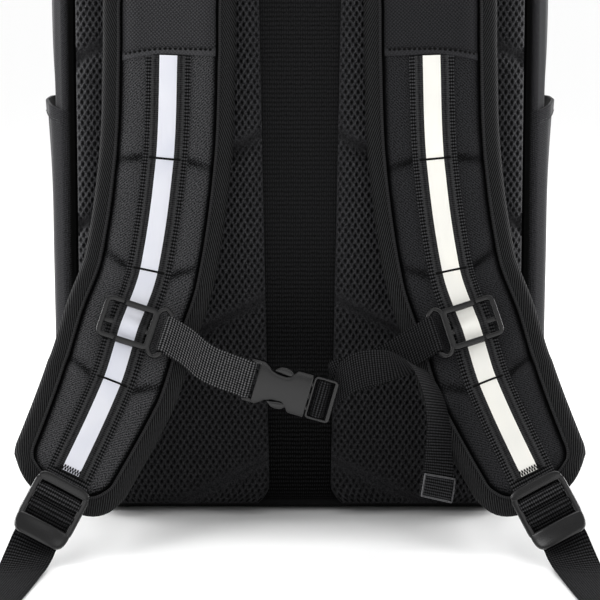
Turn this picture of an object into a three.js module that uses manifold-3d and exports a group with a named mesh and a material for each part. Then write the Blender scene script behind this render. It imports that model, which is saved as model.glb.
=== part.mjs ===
// Backpack with a hollow zip-top body, two padded shoulder straps and a buckled chest strap.
// Millimetres, +Z up. The strap side faces -Y, +X is to the right as seen from that side,
// and the origin is on the ground under the middle of the body.
import * as THREE from "three";
import { mergeVertices } from "three/addons/utils/BufferGeometryUtils.js";
import Module from "manifold-3d";

const wasm = await Module();
wasm.setup();

// Driving sizes of the body
const GAP = 0.35; // clearance between neighbouring pieces
const WALL = 2.2; // cloth with its foam backing
const BODY = { halfWidth: 148, height: 460, lowRadius: 26, highRadius: 70, frontBulge: 9 };

// The gusset from back to front: how far a section draws in at the sides and top, and lifts at the base
const GUSSET = [
  { y: -80, inset: 17, lift: 5 },
  { y: -74, inset: 9.5, lift: 1.5 },
  { y: -62, inset: 4, lift: 0 },
  { y: -35, inset: 0.5, lift: 0 },
  { y: 0, inset: 0, lift: 0 },
  { y: 40, inset: 1.5, lift: 0 },
  { y: 62, inset: 6, lift: 1 },
  { y: 74, inset: 13, lift: 4 },
  { y: 80, inset: 22, lift: 9 },
];
const BACK_Y = GUSSET[0].y;
const FRONT_Y = GUSSET[GUSSET.length - 1].y;

// Top zip, open as a lens between its two tapes
const MOUTH = { centreY: 4, halfOpen: 22, reach: 1.4, tapeShown: 5, tapeTucked: 4, tapeThick: 0.9 };

// Slip pockets on the sides
const POCKET = { rimZ: 243, lowZ: 32, backY: -66, frontY: 58, flare: 3.8, cloth: 1.6, dent: 4 };

// Foam pads on the back panel, with sewn grooves that fall from the channel to the sides
const PAD = { low: 5.5, high: 374, outer: 130, thick: 10.5, edge: 2.5, channelLow: 18, channelHigh: 25 };
const GROOVE = { firstZ: 33, pitch: 97, slope: 0.5, depth: 6, halfWidth: 11 };

// Shoulder strap, from its sewn anchor down to its rounded end: middle of the face, half width, thickness
const STRAP = [
  { name: "anchor", x: 63, y: -87, z: 408, half: 36, thick: 5 },
  { name: "crest", x: 66, y: -99, z: 386, half: 37, thick: 9 },
  { name: "upper", x: 71, y: -105, z: 345, half: 38, thick: 12 },
  { name: "middle", x: 74, y: -105, z: 302, half: 38, thick: 12 },
  { name: "hem", x: 74.5, y: -105, z: 271, half: 38, thick: 12 },
  { name: "tack1", x: 77, y: -108, z: 212, half: 38, thick: 12 },
  { name: "tack2", x: 86, y: -118, z: 149, half: 38, thick: 12 },
  { name: "slider", x: 96.7, y: -132, z: 118, half: 38.5, thick: 12 },
  { name: "tack3", x: 105.3, y: -147, z: 90, half: 39, thick: 12 },
  { name: "tapeEnd", x: 126.3, y: -183, z: 44.5, half: 37, thick: 12 },
  { name: "end", x: 130.4, y: -189, z: 37.5, half: 36.6, thick: 12 },
];
const STRAP_END_RADIUS = 26;
const CREASE = { depth: 1.6, length: 7 }; // dent across the pad at each tack
const BINDING_WIDTH = 10.2;

// Layers on the strap's face: half width, and height of the underside and top over the pad
const WEBBING = { half: 13, low: 0.4, top: 1.65 };
const RIBBON = { half: 9.5, low: 2.5, top: 3.1 };
const TAPE = { half: 5, low: 3.65, top: 4 };
const CAP = { half: 26.5, low: 0.4, top: 1.65 };
const HUMP = { height: 2.8, halfLength: 8 }; // the ribbon's rise over the slider's hidden bar

// Moulded slider on the strap: frame with its outer and inner reach, and the D loop for the chest strap
const SLIDER = { outer: 17.2, inner: 14.2, halfHigh: 11.6, rail: 3.4, low: 4.8, thick: 2.6 };
const SLIDER_BAR = { half: 2.4, thick: 1.4, below: 0.8 };
const D_LOOP = { reach: 8.4, halfHigh: 14.4, bar: 2.4, slotHalf: 11.2 };

// Ladder lock at the strap's end: its middle, its long axis, and its sizes along, across and outwards
const LOCK = { x: 135.3, y: -201.5, z: 26.8, axis: [0.44, -0.4, -0.805], halfLong: 18.5, half: 15.3 };
const LOCK_WINDOW = { from: -13, to: 6.5, half: 12.9 };
const LOCK_BARS = { first: -7.2, second: 1.4, half: 1.2, thick: 1.1 };
const LOCK_PLATE = { thick: 3.6, lipRise: 0.03 };

// Webbing of the straps' lower ends and of the chest strap
const STRAP_WEB = { width: 25, thick: 1.3 };
const CHEST_WEB = { width: 21, thick: 1.3, foldRadius: 2.6, sewnBack: 20, legs: 0.9 };

// Free end of the strap webbing: from the lock's lip down onto the ground, with its sideways tilt
const ADJUSTER_TAIL = [
  { x: 146, y: -212, z: 7.2, tilt: 0.3 },
  { x: 148.6, y: -222, z: 3, tilt: 0.12 },
  { x: 151, y: -234, z: 1.3, tilt: 0 },
  { x: 154, y: -252, z: 1, tilt: 0 },
  { x: 158.5, y: -278, z: 1, tilt: 0 },
  { x: 162.5, y: -298, z: 1, tilt: 0 },
];
// Sewn end of the strap webbing: on edge beside the pad at the side seam, then forwards to the lock's back
const ADJUSTER_ANCHOR = [
  { x: 129.1, y: -80.7, z: 36, tilt: 1 },
  { x: 129.1, y: -92, z: 36, tilt: 1 },
  { x: 130.2, y: -110, z: 34.8, tilt: 0.97 },
  { x: 132.6, y: -135, z: 31.5, tilt: 0.86 },
  { x: 135, y: -160, z: 27.5, tilt: 0.68 },
  { x: 136.6, y: -176, z: 24.6, tilt: 0.54 },
  { x: 137.3, y: -186, z: 22.7, tilt: 0.48 },
];

// Side-release buckle: its middle, its long axis, and stations along that axis
const BUCKLE = { x: -2.8, y: -143, z: 83.4, axis: [0.962, 0, -0.274], half: 12.2 };
const SOCKET = { thick: 7, cavityLow: -20, cavityHalf: 10.2, cavityThick: 4.2 };
const SOCKET_EDGE = [
  { along: -23, half: 11.2 },
  { along: -20.8, half: 12.4 },
  { along: -15.8, half: 8.8 },
  { along: -11.6, half: 7.4 },
  { along: -6.7, half: 7.2 },
  { along: -3.7, half: 9.2 },
  { along: -1.8, half: 12 },
  { along: 7.9, half: 12.4 },
];
const SOCKET_BAR = { at: -27.3, half: 1.15, lug: 1.2 };
const PLUG = { low: 8.3, high: 22.75, thick: 4, windowLow: 11, windowHigh: 20.2, windowHalf: 10.9 };
const PLUG_BAR = { at: 14.7, half: 1.1 };
// A prong of the plug, round its edge: it fills the socket's waist so that a finger can press it
const PRONG = [
  { along: 9.3, w: 5.2 },
  { along: 9.3, w: 8.4 },
  { along: 2, w: 8.8 },
  { along: -3.1, w: 9.2 },
  { along: -4.6, w: 11.4 },
  { along: -8.6, w: 12.2 },
  { along: -13.8, w: 9.9 },
  { along: -13.2, w: 8.4 },
  { along: -5, w: 6.8 },
  { along: 2, w: 5.6 },
];

// Chest strap's free tail: its upper edge, which becomes its left edge, and its lower edge
const CHEST_TAIL = [
  { ux: 18.2, uy: -139.7, uz: 87.8, vx: 12.7, vy: -139.7, vz: 68.6 },
  { ux: 20, uy: -139.6, uz: 92, vx: 17, vy: -139.6, vz: 70.5 },
  { ux: 21.5, uy: -139.8, uz: 97.5, vx: 23.5, vy: -139.8, vz: 78.5 },
  { ux: 30.7, uy: -143, uz: 105.5, vx: 34.1, vy: -143, vz: 85.5 },
  { ux: 45, uy: -150, uz: 109, vx: 47.5, vy: -147, vz: 89.2 },
  { ux: 53.7, uy: -157, uz: 107.6, vx: 60, vy: -147, vz: 93 },
  { ux: 60.2, uy: -162, uz: 102.6, vx: 69.4, vy: -148.5, vz: 96 },
  { ux: 64.6, uy: -165, uz: 95.7, vx: 76, vy: -151, vz: 89.5 },
  { ux: 68.5, uy: -166.5, uz: 83.4, vx: 81, vy: -154.5, vz: 79 },
  { ux: 69.8, uy: -168, uz: 69.1, vx: 84, vy: -160, vz: 65 },
  { ux: 68.9, uy: -170, uz: 54, vx: 84.7, vy: -166, vz: 50.4 },
  { ux: 67.6, uy: -172, uz: 42.3, vx: 85.6, vy: -169.5, vz: 37 },
  { ux: 65.9, uy: -172, uz: 31, vx: 84, vy: -169.5, vz: 25 },
];
// The same strap's way in behind the plug, again by its upper and lower edge
const CHEST_ENTRY = [
  { ux: 17, uy: -137.4, uz: 99, vx: 24.5, vy: -137.4, vz: 80.5 },
  { ux: 16.5, uy: -137.9, uz: 92.5, vx: 15, vy: -137.9, vz: 72.5 },
];
const TAIL_HEM = { length: 13, extra: 1.1 }; // the folded end is a layer thicker

// Carrying loop and the yoke over the straps' sewn ends
const HAUL = { y: -48, width: 20, thick: 1.6, foot: 60, rise: 27, lean: 0.12 };
const YOKE = { low: 390, high: 413, half: 110, slope: 4, over: 2, cloth: 1.4 };

const vec = (x, y, z) => new THREE.Vector3(x, y, z);
const mix = (a, b, t) => a + (b - a) * t;
const bell = (x, width) => Math.exp(-((x / width) ** 2));

// Reads a table's columns at a place along one of them, straight between its rows
function between(table, key, value, columns) {
  let k = table.findIndex((row) => row[key] >= value);
  k = k < 1 ? 1 : k;
  const low = table[k - 1];
  const high = table[k];
  const t = (value - low[key]) / (high[key] - low[key]);
  return Object.fromEntries(columns.map((c) => [c, mix(low[c], high[c], t)]));
}

// A smooth curve through points, read by the chord length travelled along them
function spline(points) {
  const knots = [0];
  for (let k = 1; k < points.length; k += 1) {
    knots.push(knots[k - 1] + points[k].distanceTo(points[k - 1]));
  }
  const last = points.length - 1;
  const slopes = points.map((_, k) => {
    const a = Math.max(k - 1, 0);
    const b = Math.min(k + 1, last);
    return points[b].clone().sub(points[a]).divideScalar(knots[b] - knots[a]);
  });
  const at = (s) => {
    let k = knots.findIndex((knot) => knot > s) - 1;
    k = k < 0 ? last - 1 : k;
    const span = knots[k + 1] - knots[k];
    const t = (s - knots[k]) / span;
    const point = points[k].clone().multiplyScalar(2 * t ** 3 - 3 * t ** 2 + 1);
    point.addScaledVector(slopes[k], span * (t ** 3 - 2 * t ** 2 + t));
    point.addScaledVector(points[k + 1], 3 * t ** 2 - 2 * t ** 3);
    return point.addScaledVector(slopes[k + 1], span * (t ** 3 - t ** 2));
  };
  return { at, knots, length: knots[last] };
}

// Closed solids

// Turns every face outwards, by the sign of the volume that the faces enclose
function facingOut(geometry) {
  const p = geometry.attributes.position;
  const index = geometry.index.array;
  const [a, b, c] = [vec(), vec(), vec()];
  let volume = 0;
  for (let k = 0; k < index.length; k += 3) {
    a.fromBufferAttribute(p, index[k]);
    b.fromBufferAttribute(p, index[k + 1]);
    c.fromBufferAttribute(p, index[k + 2]);
    volume += a.dot(b.cross(c));
  }
  if (volume < 0) {
    for (let k = 0; k < index.length; k += 3) {
      [index[k], index[k + 1]] = [index[k + 1], index[k]];
    }
  }
  return geometry;
}

function fromTriangles(points, index) {
  const geometry = new THREE.BufferGeometry();
  const numbers = points.flatMap((p) => [p.x, p.y, p.z]);
  geometry.setAttribute("position", new THREE.Float32BufferAttribute(numbers, 3));
  geometry.setIndex(index);
  return facingOut(geometry);
}

// A sheet with thickness: two matching grids of points joined round their rim.
// With a bridge, the last column is also joined straight across to itself, as on a tongue.
function sheet(outer, inner, bridge = false) {
  const rows = outer.length;
  const cols = outer[0].length;
  const points = [...outer.flat(), ...inner.flat()];
  const index = [];
  const id = (side, i, j) => (side * rows + i) * cols + j;
  const quad = (a, b, c, d) => index.push(a, b, c, a, c, d);
  const both = (a, b, c, d) => {
    quad(id(0, ...a), id(0, ...b), id(0, ...c), id(0, ...d));
    quad(id(1, ...d), id(1, ...c), id(1, ...b), id(1, ...a));
  };
  const rim = (a, b) => quad(id(0, ...b), id(0, ...a), id(1, ...a), id(1, ...b));
  for (let i = 0; i < rows - 1; i += 1) {
    for (let j = 0; j < cols - 1; j += 1) {
      both([i, j], [i, j + 1], [i + 1, j + 1], [i + 1, j]);
    }
    rim([i + 1, 0], [i, 0]);
    if (!bridge) rim([i, cols - 1], [i + 1, cols - 1]);
  }
  for (let j = 0; j < cols - 1; j += 1) {
    rim([0, j], [0, j + 1]);
    rim([rows - 1, j + 1], [rows - 1, j]);
  }
  if (bridge) {
    const far = (i) => [rows - 1 - i, cols - 1];
    for (let i = 0; i < rows / 2 - 1; i += 1) {
      both([i, cols - 1], far(i), far(i + 1), [i + 1, cols - 1]);
    }
    rim([0, cols - 1], far(0));
  }
  return fromTriangles(points, index);
}

// A flat band along stations, each with its middle and the direction of its width
function band(stations, width, thick) {
  const middles = stations.map((s) => s.at);
  const outer = [];
  const inner = [];
  stations.forEach((station, k) => {
    const before = middles[Math.max(k - 1, 0)];
    const after = middles[Math.min(k + 1, middles.length - 1)];
    const along = after.clone().sub(before).normalize();
    const across = station.across.clone().normalize();
    const out = along.clone().cross(across).normalize();
    const half = (thick + (station.extra ?? 0)) / 2;
    const edges = [-width / 2, width / 2].map((t) => station.at.clone().addScaledVector(across, t));
    outer.push(edges.map((edge) => edge.clone().addScaledVector(out, half)));
    inner.push(edges.map((edge) => edge.clone().addScaledVector(out, -half)));
  });
  return sheet(outer, inner);
}

function toSolid(geometry) {
  const bare = geometry.clone();
  bare.deleteAttribute("normal");
  bare.deleteAttribute("uv");
  const merged = mergeVertices(bare, 1e-4);
  return new wasm.Manifold(new wasm.Mesh({
    numProp: 3,
    vertProperties: new Float32Array(merged.attributes.position.array),
    triVerts: new Uint32Array(merged.index.array),
  }));
}

function toGeometry(solid) {
  const mesh = solid.getMesh();
  const geometry = new THREE.BufferGeometry();
  geometry.setAttribute("position", new THREE.BufferAttribute(new Float32Array(mesh.vertProperties), 3));
  geometry.setIndex(new THREE.BufferAttribute(new Uint32Array(mesh.triVerts), 1));
  return geometry;
}

const unite = (geometries) => geometries.map(toSolid).reduce((a, b) => a.add(b));

// A box between two corners given as ranges
function boxOf([x0, x1], [y0, y1], [z0, z1]) {
  const box = new THREE.BoxGeometry(x1 - x0, y1 - y0, z1 - z0);
  return box.translate((x0 + x1) / 2, (y0 + y1) / 2, (z0 + z1) / 2);
}

// A plate with rounded edges, centred on its own mid plane, from an outline and its holes
function plate(outline, thick, bevel, holes = []) {
  const shape = new THREE.Shape(outline);
  shape.holes = holes.map((points) => new THREE.Path(points));
  const geometry = new THREE.ExtrudeGeometry(shape, {
    depth: thick - 2 * bevel,
    bevelEnabled: bevel > 0,
    bevelSize: bevel,
    bevelOffset: -bevel,
    bevelThickness: bevel,
    bevelSegments: 1,
  });
  return geometry.translate(0, 0, bevel - thick / 2);
}

// Corner points of a rounded rectangle
function roundedRectangle(x0, x1, y0, y1, radius, steps = 3) {
  const corners = [
    { x: x1 - radius, y: y1 - radius, turn: 0 },
    { x: x0 + radius, y: y1 - radius, turn: 1 },
    { x: x0 + radius, y: y0 + radius, turn: 2 },
    { x: x1 - radius, y: y0 + radius, turn: 3 },
  ];
  return corners.flatMap(({ x, y, turn }) => Array.from({ length: steps + 1 }, (_, k) => {
    const angle = (turn + k / steps) * Math.PI / 2;
    return new THREE.Vector2(x + radius * Math.cos(angle), y + radius * Math.sin(angle));
  }));
}

// Body

// A point of the body's section at a depth. The way w goes round from the middle of the base (0), by the
// low corner (1 to 2), the side (2 to 3) and the high corner (3 to 4), to the middle of the top (5).
// A negative w goes round the other side.
function bodyPoint(w, y, shrink = 0) {
  const { inset, lift } = between(GUSSET, "y", y, ["inset", "lift"]);
  const half = BODY.halfWidth - inset - shrink;
  const low = lift + shrink;
  const high = BODY.height - inset - shrink;
  const [r, R] = [BODY.lowRadius, BODY.highRadius];
  const t = Math.abs(w);
  const turn = (t - (t > 3 ? 3 : 1)) * Math.PI / 2;
  let x = t * (half - r);
  let z = low;
  if (t > 4) {
    x = (5 - t) * (half - R);
    z = high;
  } else if (t > 3) {
    x = half - R + R * Math.cos(turn);
    z = high - R + R * Math.sin(turn);
  } else if (t >= 2) {
    x = half;
    z = mix(low + r, high - R, t - 2);
  } else if (t > 1) {
    x = half - r + r * Math.sin(turn);
    z = low + r - r * Math.cos(turn);
  }
  return vec(Math.sign(w) * x, y, z);
}

const sideWay = (z) => 2 + (z - BODY.lowRadius) / (BODY.height - BODY.highRadius - BODY.lowRadius);
const SEAM = 0.004; // half of a seam's gap, as a share of a corner's turn
const depths = GUSSET.map((row) => row.y);

function bodySheet(ways, ys, wall = WALL, shift = () => 0) {
  const grid = (shrink) => ways.map((w) => ys.map((y) => {
    const p = bodyPoint(w, y, shrink);
    p.x -= Math.sign(w) * shift(p.z, y);
    return p;
  }));
  return sheet(grid(0), grid(wall));
}

const basePanel = () => bodySheet([-1 + SEAM, -0.5, 0, 0.5, 1 - SEAM].map((w) => w || 1e-9), depths);

// The side wall is pushed in behind the pocket's mouth
const pocketDent = (z, y) => POCKET.dent * bell(z - POCKET.rimZ + 14, 30) * bell(y, 38);

const SIDE_HEIGHTS = [80, 135, 190, 225, POCKET.rimZ, 272, 330];
const sideWays = SIDE_HEIGHTS.map(sideWay);

function sidePanel() {
  const ways = [1 + SEAM, 1.25, 1.5, 1.75, 2, ...sideWays, 3, 3.25, 3.5 - SEAM];
  return bodySheet(ways, depths, WALL, pocketDent);
}

function sidePocket() {
  const ways = [POCKET.lowZ, ...SIDE_HEIGHTS.filter((z) => z <= POCKET.rimZ)].map(sideWay);
  const ys = [POCKET.backY, -62, -35, 0, 40, POCKET.frontY];
  const grid = (cloth) => ways.map((w) => ys.map((y) => {
    const p = bodyPoint(w, y);
    const across = Math.sin(Math.PI * (y - POCKET.backY) / (POCKET.frontY - POCKET.backY)) ** 0.7 || 0;
    const rise = ((p.z - POCKET.lowZ) / (POCKET.rimZ - POCKET.lowZ)) ** 3;
    p.x += GAP + 0.1 + POCKET.flare * across * rise + cloth;
    return p;
  }));
  return sheet(grid(POCKET.cloth), grid(0));
}

const mouthWays = [-1.5 + SEAM, -1.25, -1, -0.75, -0.5, -0.25, 0, 0.25, 0.5, 0.75, 1, 1.25, 1.5 - SEAM];
const topWay = (v) => (v < 0 ? -5 - v : 5 - v);
const mouthHalf = (v) => MOUTH.halfOpen * Math.max(0, 1 - (v / MOUTH.reach) ** 2) + 0.25;

function topPanel(side) {
  const fixed = depths.filter((y) => (side < 0 ? y < -30 : y > 35));
  const grid = (shrink) => mouthWays.map((v) => {
    const lip = MOUTH.centreY + side * (mouthHalf(v) + MOUTH.tapeShown);
    const ys = side < 0 ? [...fixed, lip] : [lip, ...fixed];
    return ys.map((y) => bodyPoint(topWay(v), y, shrink));
  });
  return sheet(grid(0), grid(WALL));
}

function zipTape(side) {
  const depth = WALL + GAP;
  const grid = (shrink) => mouthWays.map((v) => {
    const edge = MOUTH.centreY + side * mouthHalf(v);
    const hidden = edge + side * (MOUTH.tapeShown + MOUTH.tapeTucked);
    return [edge, hidden].map((y) => bodyPoint(topWay(v), y, shrink));
  });
  return sheet(grid(depth), grid(depth + MOUTH.tapeThick));
}

// The zip's slider with its pull, parked at the mouth's right end
function zipSlider() {
  const turn = 0.6;
  const seat = bodyPoint(3 + turn, MOUTH.centreY, WALL);
  const slider = boxOf([-5, 5], [-4, 4], [0, 4.5]);
  const pull = boxOf([4, 26], [-3, 3], [2.4, 4]);
  const geometry = toGeometry(unite([slider, pull]));
  const angle = turn * Math.PI / 2;
  const out = vec(Math.cos(angle), 0, Math.sin(angle));
  const down = vec(Math.sin(angle), 0, -Math.cos(angle));
  const place = new THREE.Matrix4().makeBasis(down, out.clone().cross(down), out);
  return geometry.applyMatrix4(place.setPosition(seat));
}

function frontPanel() {
  const shrink = WALL + GAP + 0.1;
  const ways = [1, 1.25, 1.5, 1.75, 2, 2.33, 2.67, 3, 3.25, 3.5, 3.75, 4];
  const columns = [-1, -0.6, -0.2, 0.2, 0.6, 1];
  const [low, high] = [bodyPoint(1, FRONT_Y, shrink).z, bodyPoint(4, FRONT_Y, shrink).z];
  const grid = (inwards) => ways.map((w) => {
    const edge = bodyPoint(w, FRONT_Y, shrink);
    const up = (edge.z - low) / (high - low);
    const swell = BODY.frontBulge * (1 - (2 * up - 1) ** 4);
    return columns.map((u) => vec(u * edge.x, FRONT_Y + swell * (1 - u * u) - inwards, edge.z));
  });
  return sheet(grid(0), grid(WALL));
}

const backShrink = WALL + GAP + 0.1;

function backPanel() {
  const ways = [1, 1.25, 1.5, 1.75, 2, 3, 3.25, 3.5, 3.75, 4];
  const right = ways.map((w) => bodyPoint(w, BACK_Y, backShrink));
  const outline = [...right, ...right.toReversed().map((p) => vec(-p.x, p.y, p.z))];
  const shape = new THREE.Shape(outline.map((p) => new THREE.Vector2(p.x, p.z)));
  const thick = WALL + 0.4;
  const geometry = new THREE.ExtrudeGeometry(shape, { depth: thick, bevelEnabled: false });
  return geometry.rotateX(Math.PI / 2).translate(0, BACK_Y + thick, 0);
}

// Half width of the back panel at a height, for the pads' outer edge at the rounded top
function backHalf(z) {
  const top = bodyPoint(5, BACK_Y, backShrink).z - BODY.highRadius;
  const half = BODY.halfWidth - GUSSET[0].inset - backShrink;
  const over = Math.max(z - top, 0);
  return half - BODY.highRadius + Math.sqrt(BODY.highRadius ** 2 - over ** 2);
}

// Depth of the sewn grooves at a place on a pad, as a share of the full depth
function groove(x, z) {
  const fall = z + GROOVE.slope * (x - PAD.channelLow) - GROOVE.firstZ;
  const off = fall - Math.round(fall / GROOVE.pitch) * GROOVE.pitch;
  return Math.max(0, 1 - Math.abs(off) / GROOVE.halfWidth);
}

function backPad() {
  const columns = [0, 0.07, 0.2, 0.36, 0.52, 0.68, 0.82, 0.94, 1];
  const rows = 20;
  const heights = [0, 0.012, ...Array.from({ length: rows - 1 }, (_, k) => (k + 1) / rows), 0.985, 1];
  const face = [];
  const back = [];
  for (const v of heights) {
    const z = mix(PAD.low, PAD.high, v);
    const corner = 9 * Math.max(0, 1 - (z - PAD.low) / 16) ** 2;
    const inner = mix(PAD.channelLow, PAD.channelHigh, v) + corner;
    const outer = Math.min(PAD.outer, backHalf(z) - 1.5);
    const upright = Math.min(1, 4.2 * Math.min(v, 1 - v) ** 0.5);
    const edge = (u) => upright * Math.min(1, 2.2 * Math.min(u, 1 - u) ** 0.5);
    const places = columns.map((u) => vec(mix(inner, outer, u), 0, z));
    face.push(places.map((p, k) => {
      const swell = (PAD.thick - PAD.edge) * edge(columns[k]);
      const sunk = Math.min(swell, GROOVE.depth * groove(p.x, z));
      return vec(p.x, BACK_Y - GAP - PAD.edge - swell + sunk, z);
    }));
    back.push(places.map((p) => vec(p.x, BACK_Y - GAP, z)));
  }
  return sheet(face, back);
}

// Shoulder straps

const strapPath = spline(STRAP.map((row) => vec(row.x, row.y, row.z)));
const strapRows = STRAP.map((row, k) => ({ ...row, s: strapPath.knots[k] }));
const strapAlong = Object.fromEntries(strapRows.map((row) => [row.name, row.s]));
const strapAt = (s, column) => between(strapRows, "s", s, [column])[column];
const creases = [strapAlong.tack1, strapAlong.tack2, strapAlong.tack3];
const crease = (s) => CREASE.depth * creases.reduce((sum, at) => sum + bell(s - at, CREASE.length), 0);

// The strap's own directions at a place along it: down along it, across to its outer edge, out of its face
function strapFrame(s) {
  const step = 0.5;
  const a = strapPath.at(Math.max(s - step, 0));
  const b = strapPath.at(Math.min(s + step, strapPath.length));
  const along = b.sub(a).normalize();
  const out = vec(0, -1, 0).addScaledVector(along, along.y).normalize();
  return { at: strapPath.at(s), along, across: out.clone().cross(along), out };
}

function strapPoint(s, t, h) {
  const { at, across, out } = strapFrame(s);
  return at.addScaledVector(across, t).addScaledVector(out, h);
}

// Stations along the strap, closer together where it bends and at its creases
function stationsBetween(from, to, step) {
  const count = Math.max(1, Math.round((to - from) / step));
  return Array.from({ length: count }, (_, k) => mix(from, to, k / count));
}
const bendStart = strapAlong.tack1;
const roundStart = strapPath.length - STRAP_END_RADIUS;
const stops = ["anchor", "crest", "hem", "tack1", "tack2", "slider", "tack3"].map((name) => strapAlong[name]);
const strapStations = [...stops, roundStart].flatMap((from, k, all) => (
  k + 1 < all.length ? stationsBetween(from, all[k + 1], from < bendStart - 1 ? 26 : 13.6) : [from]
));

// The strap's outline drawn in by a distance: down the outer edge, round the end and up the inner edge
function strapOutline(inset) {
  const straight = strapStations.map((s) => ({ s, t: strapAt(s, "half") - inset }));
  const half = strapRows[strapRows.length - 1].half;
  const radius = STRAP_END_RADIUS - inset;
  const round = [22.5, 45, 67.5, 90].map((degrees) => {
    const angle = THREE.MathUtils.degToRad(degrees);
    const s = roundStart + radius * Math.sin(angle);
    return { s, t: half - STRAP_END_RADIUS + radius * Math.cos(angle) };
  });
  const outer = [...straight, ...round];
  return [...outer, ...outer.toReversed().map(({ s, t }) => ({ s, t: -t }))];
}

// A piece of the strap from levels: distance in from the edge, and heights of its face and back where thick
function strapPiece(levels, bridge) {
  const outlines = levels.map((level) => strapOutline(level.inset));
  const full = 12;
  const grid = (side, dent) => outlines[0].map((_, i) => levels.map((level, j) => {
    const { s, t } = outlines[j][i];
    return strapPoint(s, t, level[side] * strapAt(s, "thick") / full - (dent ? crease(s) : 0));
  }));
  return sheet(grid("face", bridge), grid("back", false), bridge);
}

const strapPad = () => strapPiece([
  { inset: BINDING_WIDTH + GAP + 0.05, face: -2.4, back: -9.6 },
  { inset: 14, face: -0.2, back: -11.4 },
  { inset: 25, face: 0, back: -12 },
], true);

const strapBinding = () => strapPiece([
  { inset: 0, face: -5.6, back: -6.4 },
  { inset: 2.4, face: -2.6, back: -9.4 },
  { inset: BINDING_WIDTH, face: -1.6, back: -10.4 },
], false);

// A flat layer on the strap's face between two places along it
function strapLayer(layer, from, to, rise = () => 0, extra = []) {
  const inside = [...strapStations, ...extra].filter((s) => s > from + 1 && s < to - 1);
  const places = [from, ...inside.sort((a, b) => a - b), to];
  const grid = (h) => places.map((s) => [-layer.half, layer.half].map((t) => (
    strapPoint(s, t, h * strapAt(s, "thick") / 12 - crease(s) + rise(s))
  )));
  return sheet(grid(layer.top), grid(layer.low));
}

const hemAt = strapAlong.hem;
const capStart = strapAlong.crest + 2;
const strapCap = () => strapLayer(CAP, capStart, hemAt);

// The ribbon rises over the slider's hidden bar and passes under its two rails
const humpAt = strapAlong.slider;
const hump = (s) => HUMP.height * Math.max(0, Math.cos(Math.PI / 2 * (s - humpAt) / HUMP.halfLength)) ** 2
  * (Math.abs(s - humpAt) < HUMP.halfLength ? 1 : 0);
const humpStations = [-8, -5.4, -2.7, 2.7, 5.4, 8].map((d) => humpAt + d);
const strapRibbon = () => strapLayer(RIBBON, hemAt + GAP, strapAlong.tapeEnd, hump, humpStations);
const reflectiveTape = () => strapLayer(TAPE, hemAt + GAP, strapAlong.tapeEnd - 1, hump, humpStations);

// Ladder lock

const lockAlong = vec(...LOCK.axis).normalize();
const lockOut = vec(0, -1, 0).addScaledVector(lockAlong, lockAlong.y).normalize();
const lockAcross = lockOut.clone().cross(lockAlong);
const lockMatrix = new THREE.Matrix4()
  .makeBasis(lockAcross.clone().negate(), lockAlong, lockOut)
  .setPosition(LOCK.x, LOCK.y, LOCK.z);
const lockPoint = (a, n) => vec(0, a, n).applyMatrix4(lockMatrix);

function ladderLock() {
  const { halfLong, half } = LOCK;
  const { from, to } = LOCK_WINDOW;
  const outline = roundedRectangle(-half, half, -halfLong, halfLong, 4.5);
  const window = roundedRectangle(-LOCK_WINDOW.half, LOCK_WINDOW.half, from, to, 1.2, 2).toReversed();
  const frame = plate(outline, LOCK_PLATE.thick, 0.8, [window]);
  const lip = frame.attributes.position;
  for (let k = 0; k < lip.count; k += 1) {
    const past = Math.max(lip.getY(k) - to, 0);
    lip.setX(k, lip.getX(k) * (1 - 0.0009 * past ** 2));
    lip.setZ(k, lip.getZ(k) + LOCK_PLATE.lipRise * past ** 2);
  }
  const bar = LOCK_BARS;
  const bars = [bar.first, bar.second].map((a) => (
    boxOf([-half + 1, half - 1], [a - bar.half, a + bar.half], [-bar.thick, bar.thick])
  ));
  return toGeometry(unite([frame, ...bars])).applyMatrix4(lockMatrix);
}

// A fold of webbing round a bar, as places along and out of the lock: from its back to its back again
const foldRadius = { along: LOCK_BARS.half + 1.25, out: LOCK_BARS.thick + 1.25 };
const foldRound = (bar) => [200, 165, 125, 90, 55, 15, -20].map((degrees) => {
  const angle = THREE.MathUtils.degToRad(degrees);
  return { a: bar + foldRadius.along * Math.cos(angle), n: foldRadius.out * Math.sin(angle) };
});
const inLock = ({ a, n }) => ({ at: lockPoint(a, n), across: lockAcross });

function strapWebbing() {
  const layer = (WEBBING.low + WEBBING.top) / 2;
  const inside = strapStations.filter((s) => s > hemAt + 3 && s < strapAlong.tapeEnd + 4);
  const onStrap = [hemAt + GAP, ...inside, strapAlong.tapeEnd + 6].map((s) => ({
    at: strapPoint(s, 0, layer - crease(s)),
    across: strapFrame(s).across,
  }));
  const lead = [{ a: -16, n: -4.0 }, { a: -12.6, n: -2.9 }, { a: -10.4, n: -1.6 }];
  const tuck = [{ a: LOCK_BARS.first + 2.2, n: -2.5 }, { a: LOCK_BARS.first + 0.8, n: -4 }];
  const stations = [...onStrap, ...[...lead, ...foldRound(LOCK_BARS.first), ...tuck].map(inLock)];
  return band(stations, 2 * WEBBING.half - 1, WEBBING.top - WEBBING.low);
}

// Stations along the ground from a table of places, turned level with its tilt
function groundStations(table, samples) {
  const path = spline(table.map((row) => vec(row.x, row.y, row.z)));
  const rows = table.map((row, k) => ({ ...row, s: path.knots[k] }));
  return Array.from({ length: samples + 1 }, (_, k) => {
    const s = Math.min(path.length * k / samples, path.length - 1e-6);
    const { tilt } = between(rows, "s", s, ["tilt"]);
    return { at: path.at(s), across: vec(Math.sqrt(1 - tilt * tilt), 0, tilt) };
  });
}

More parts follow.
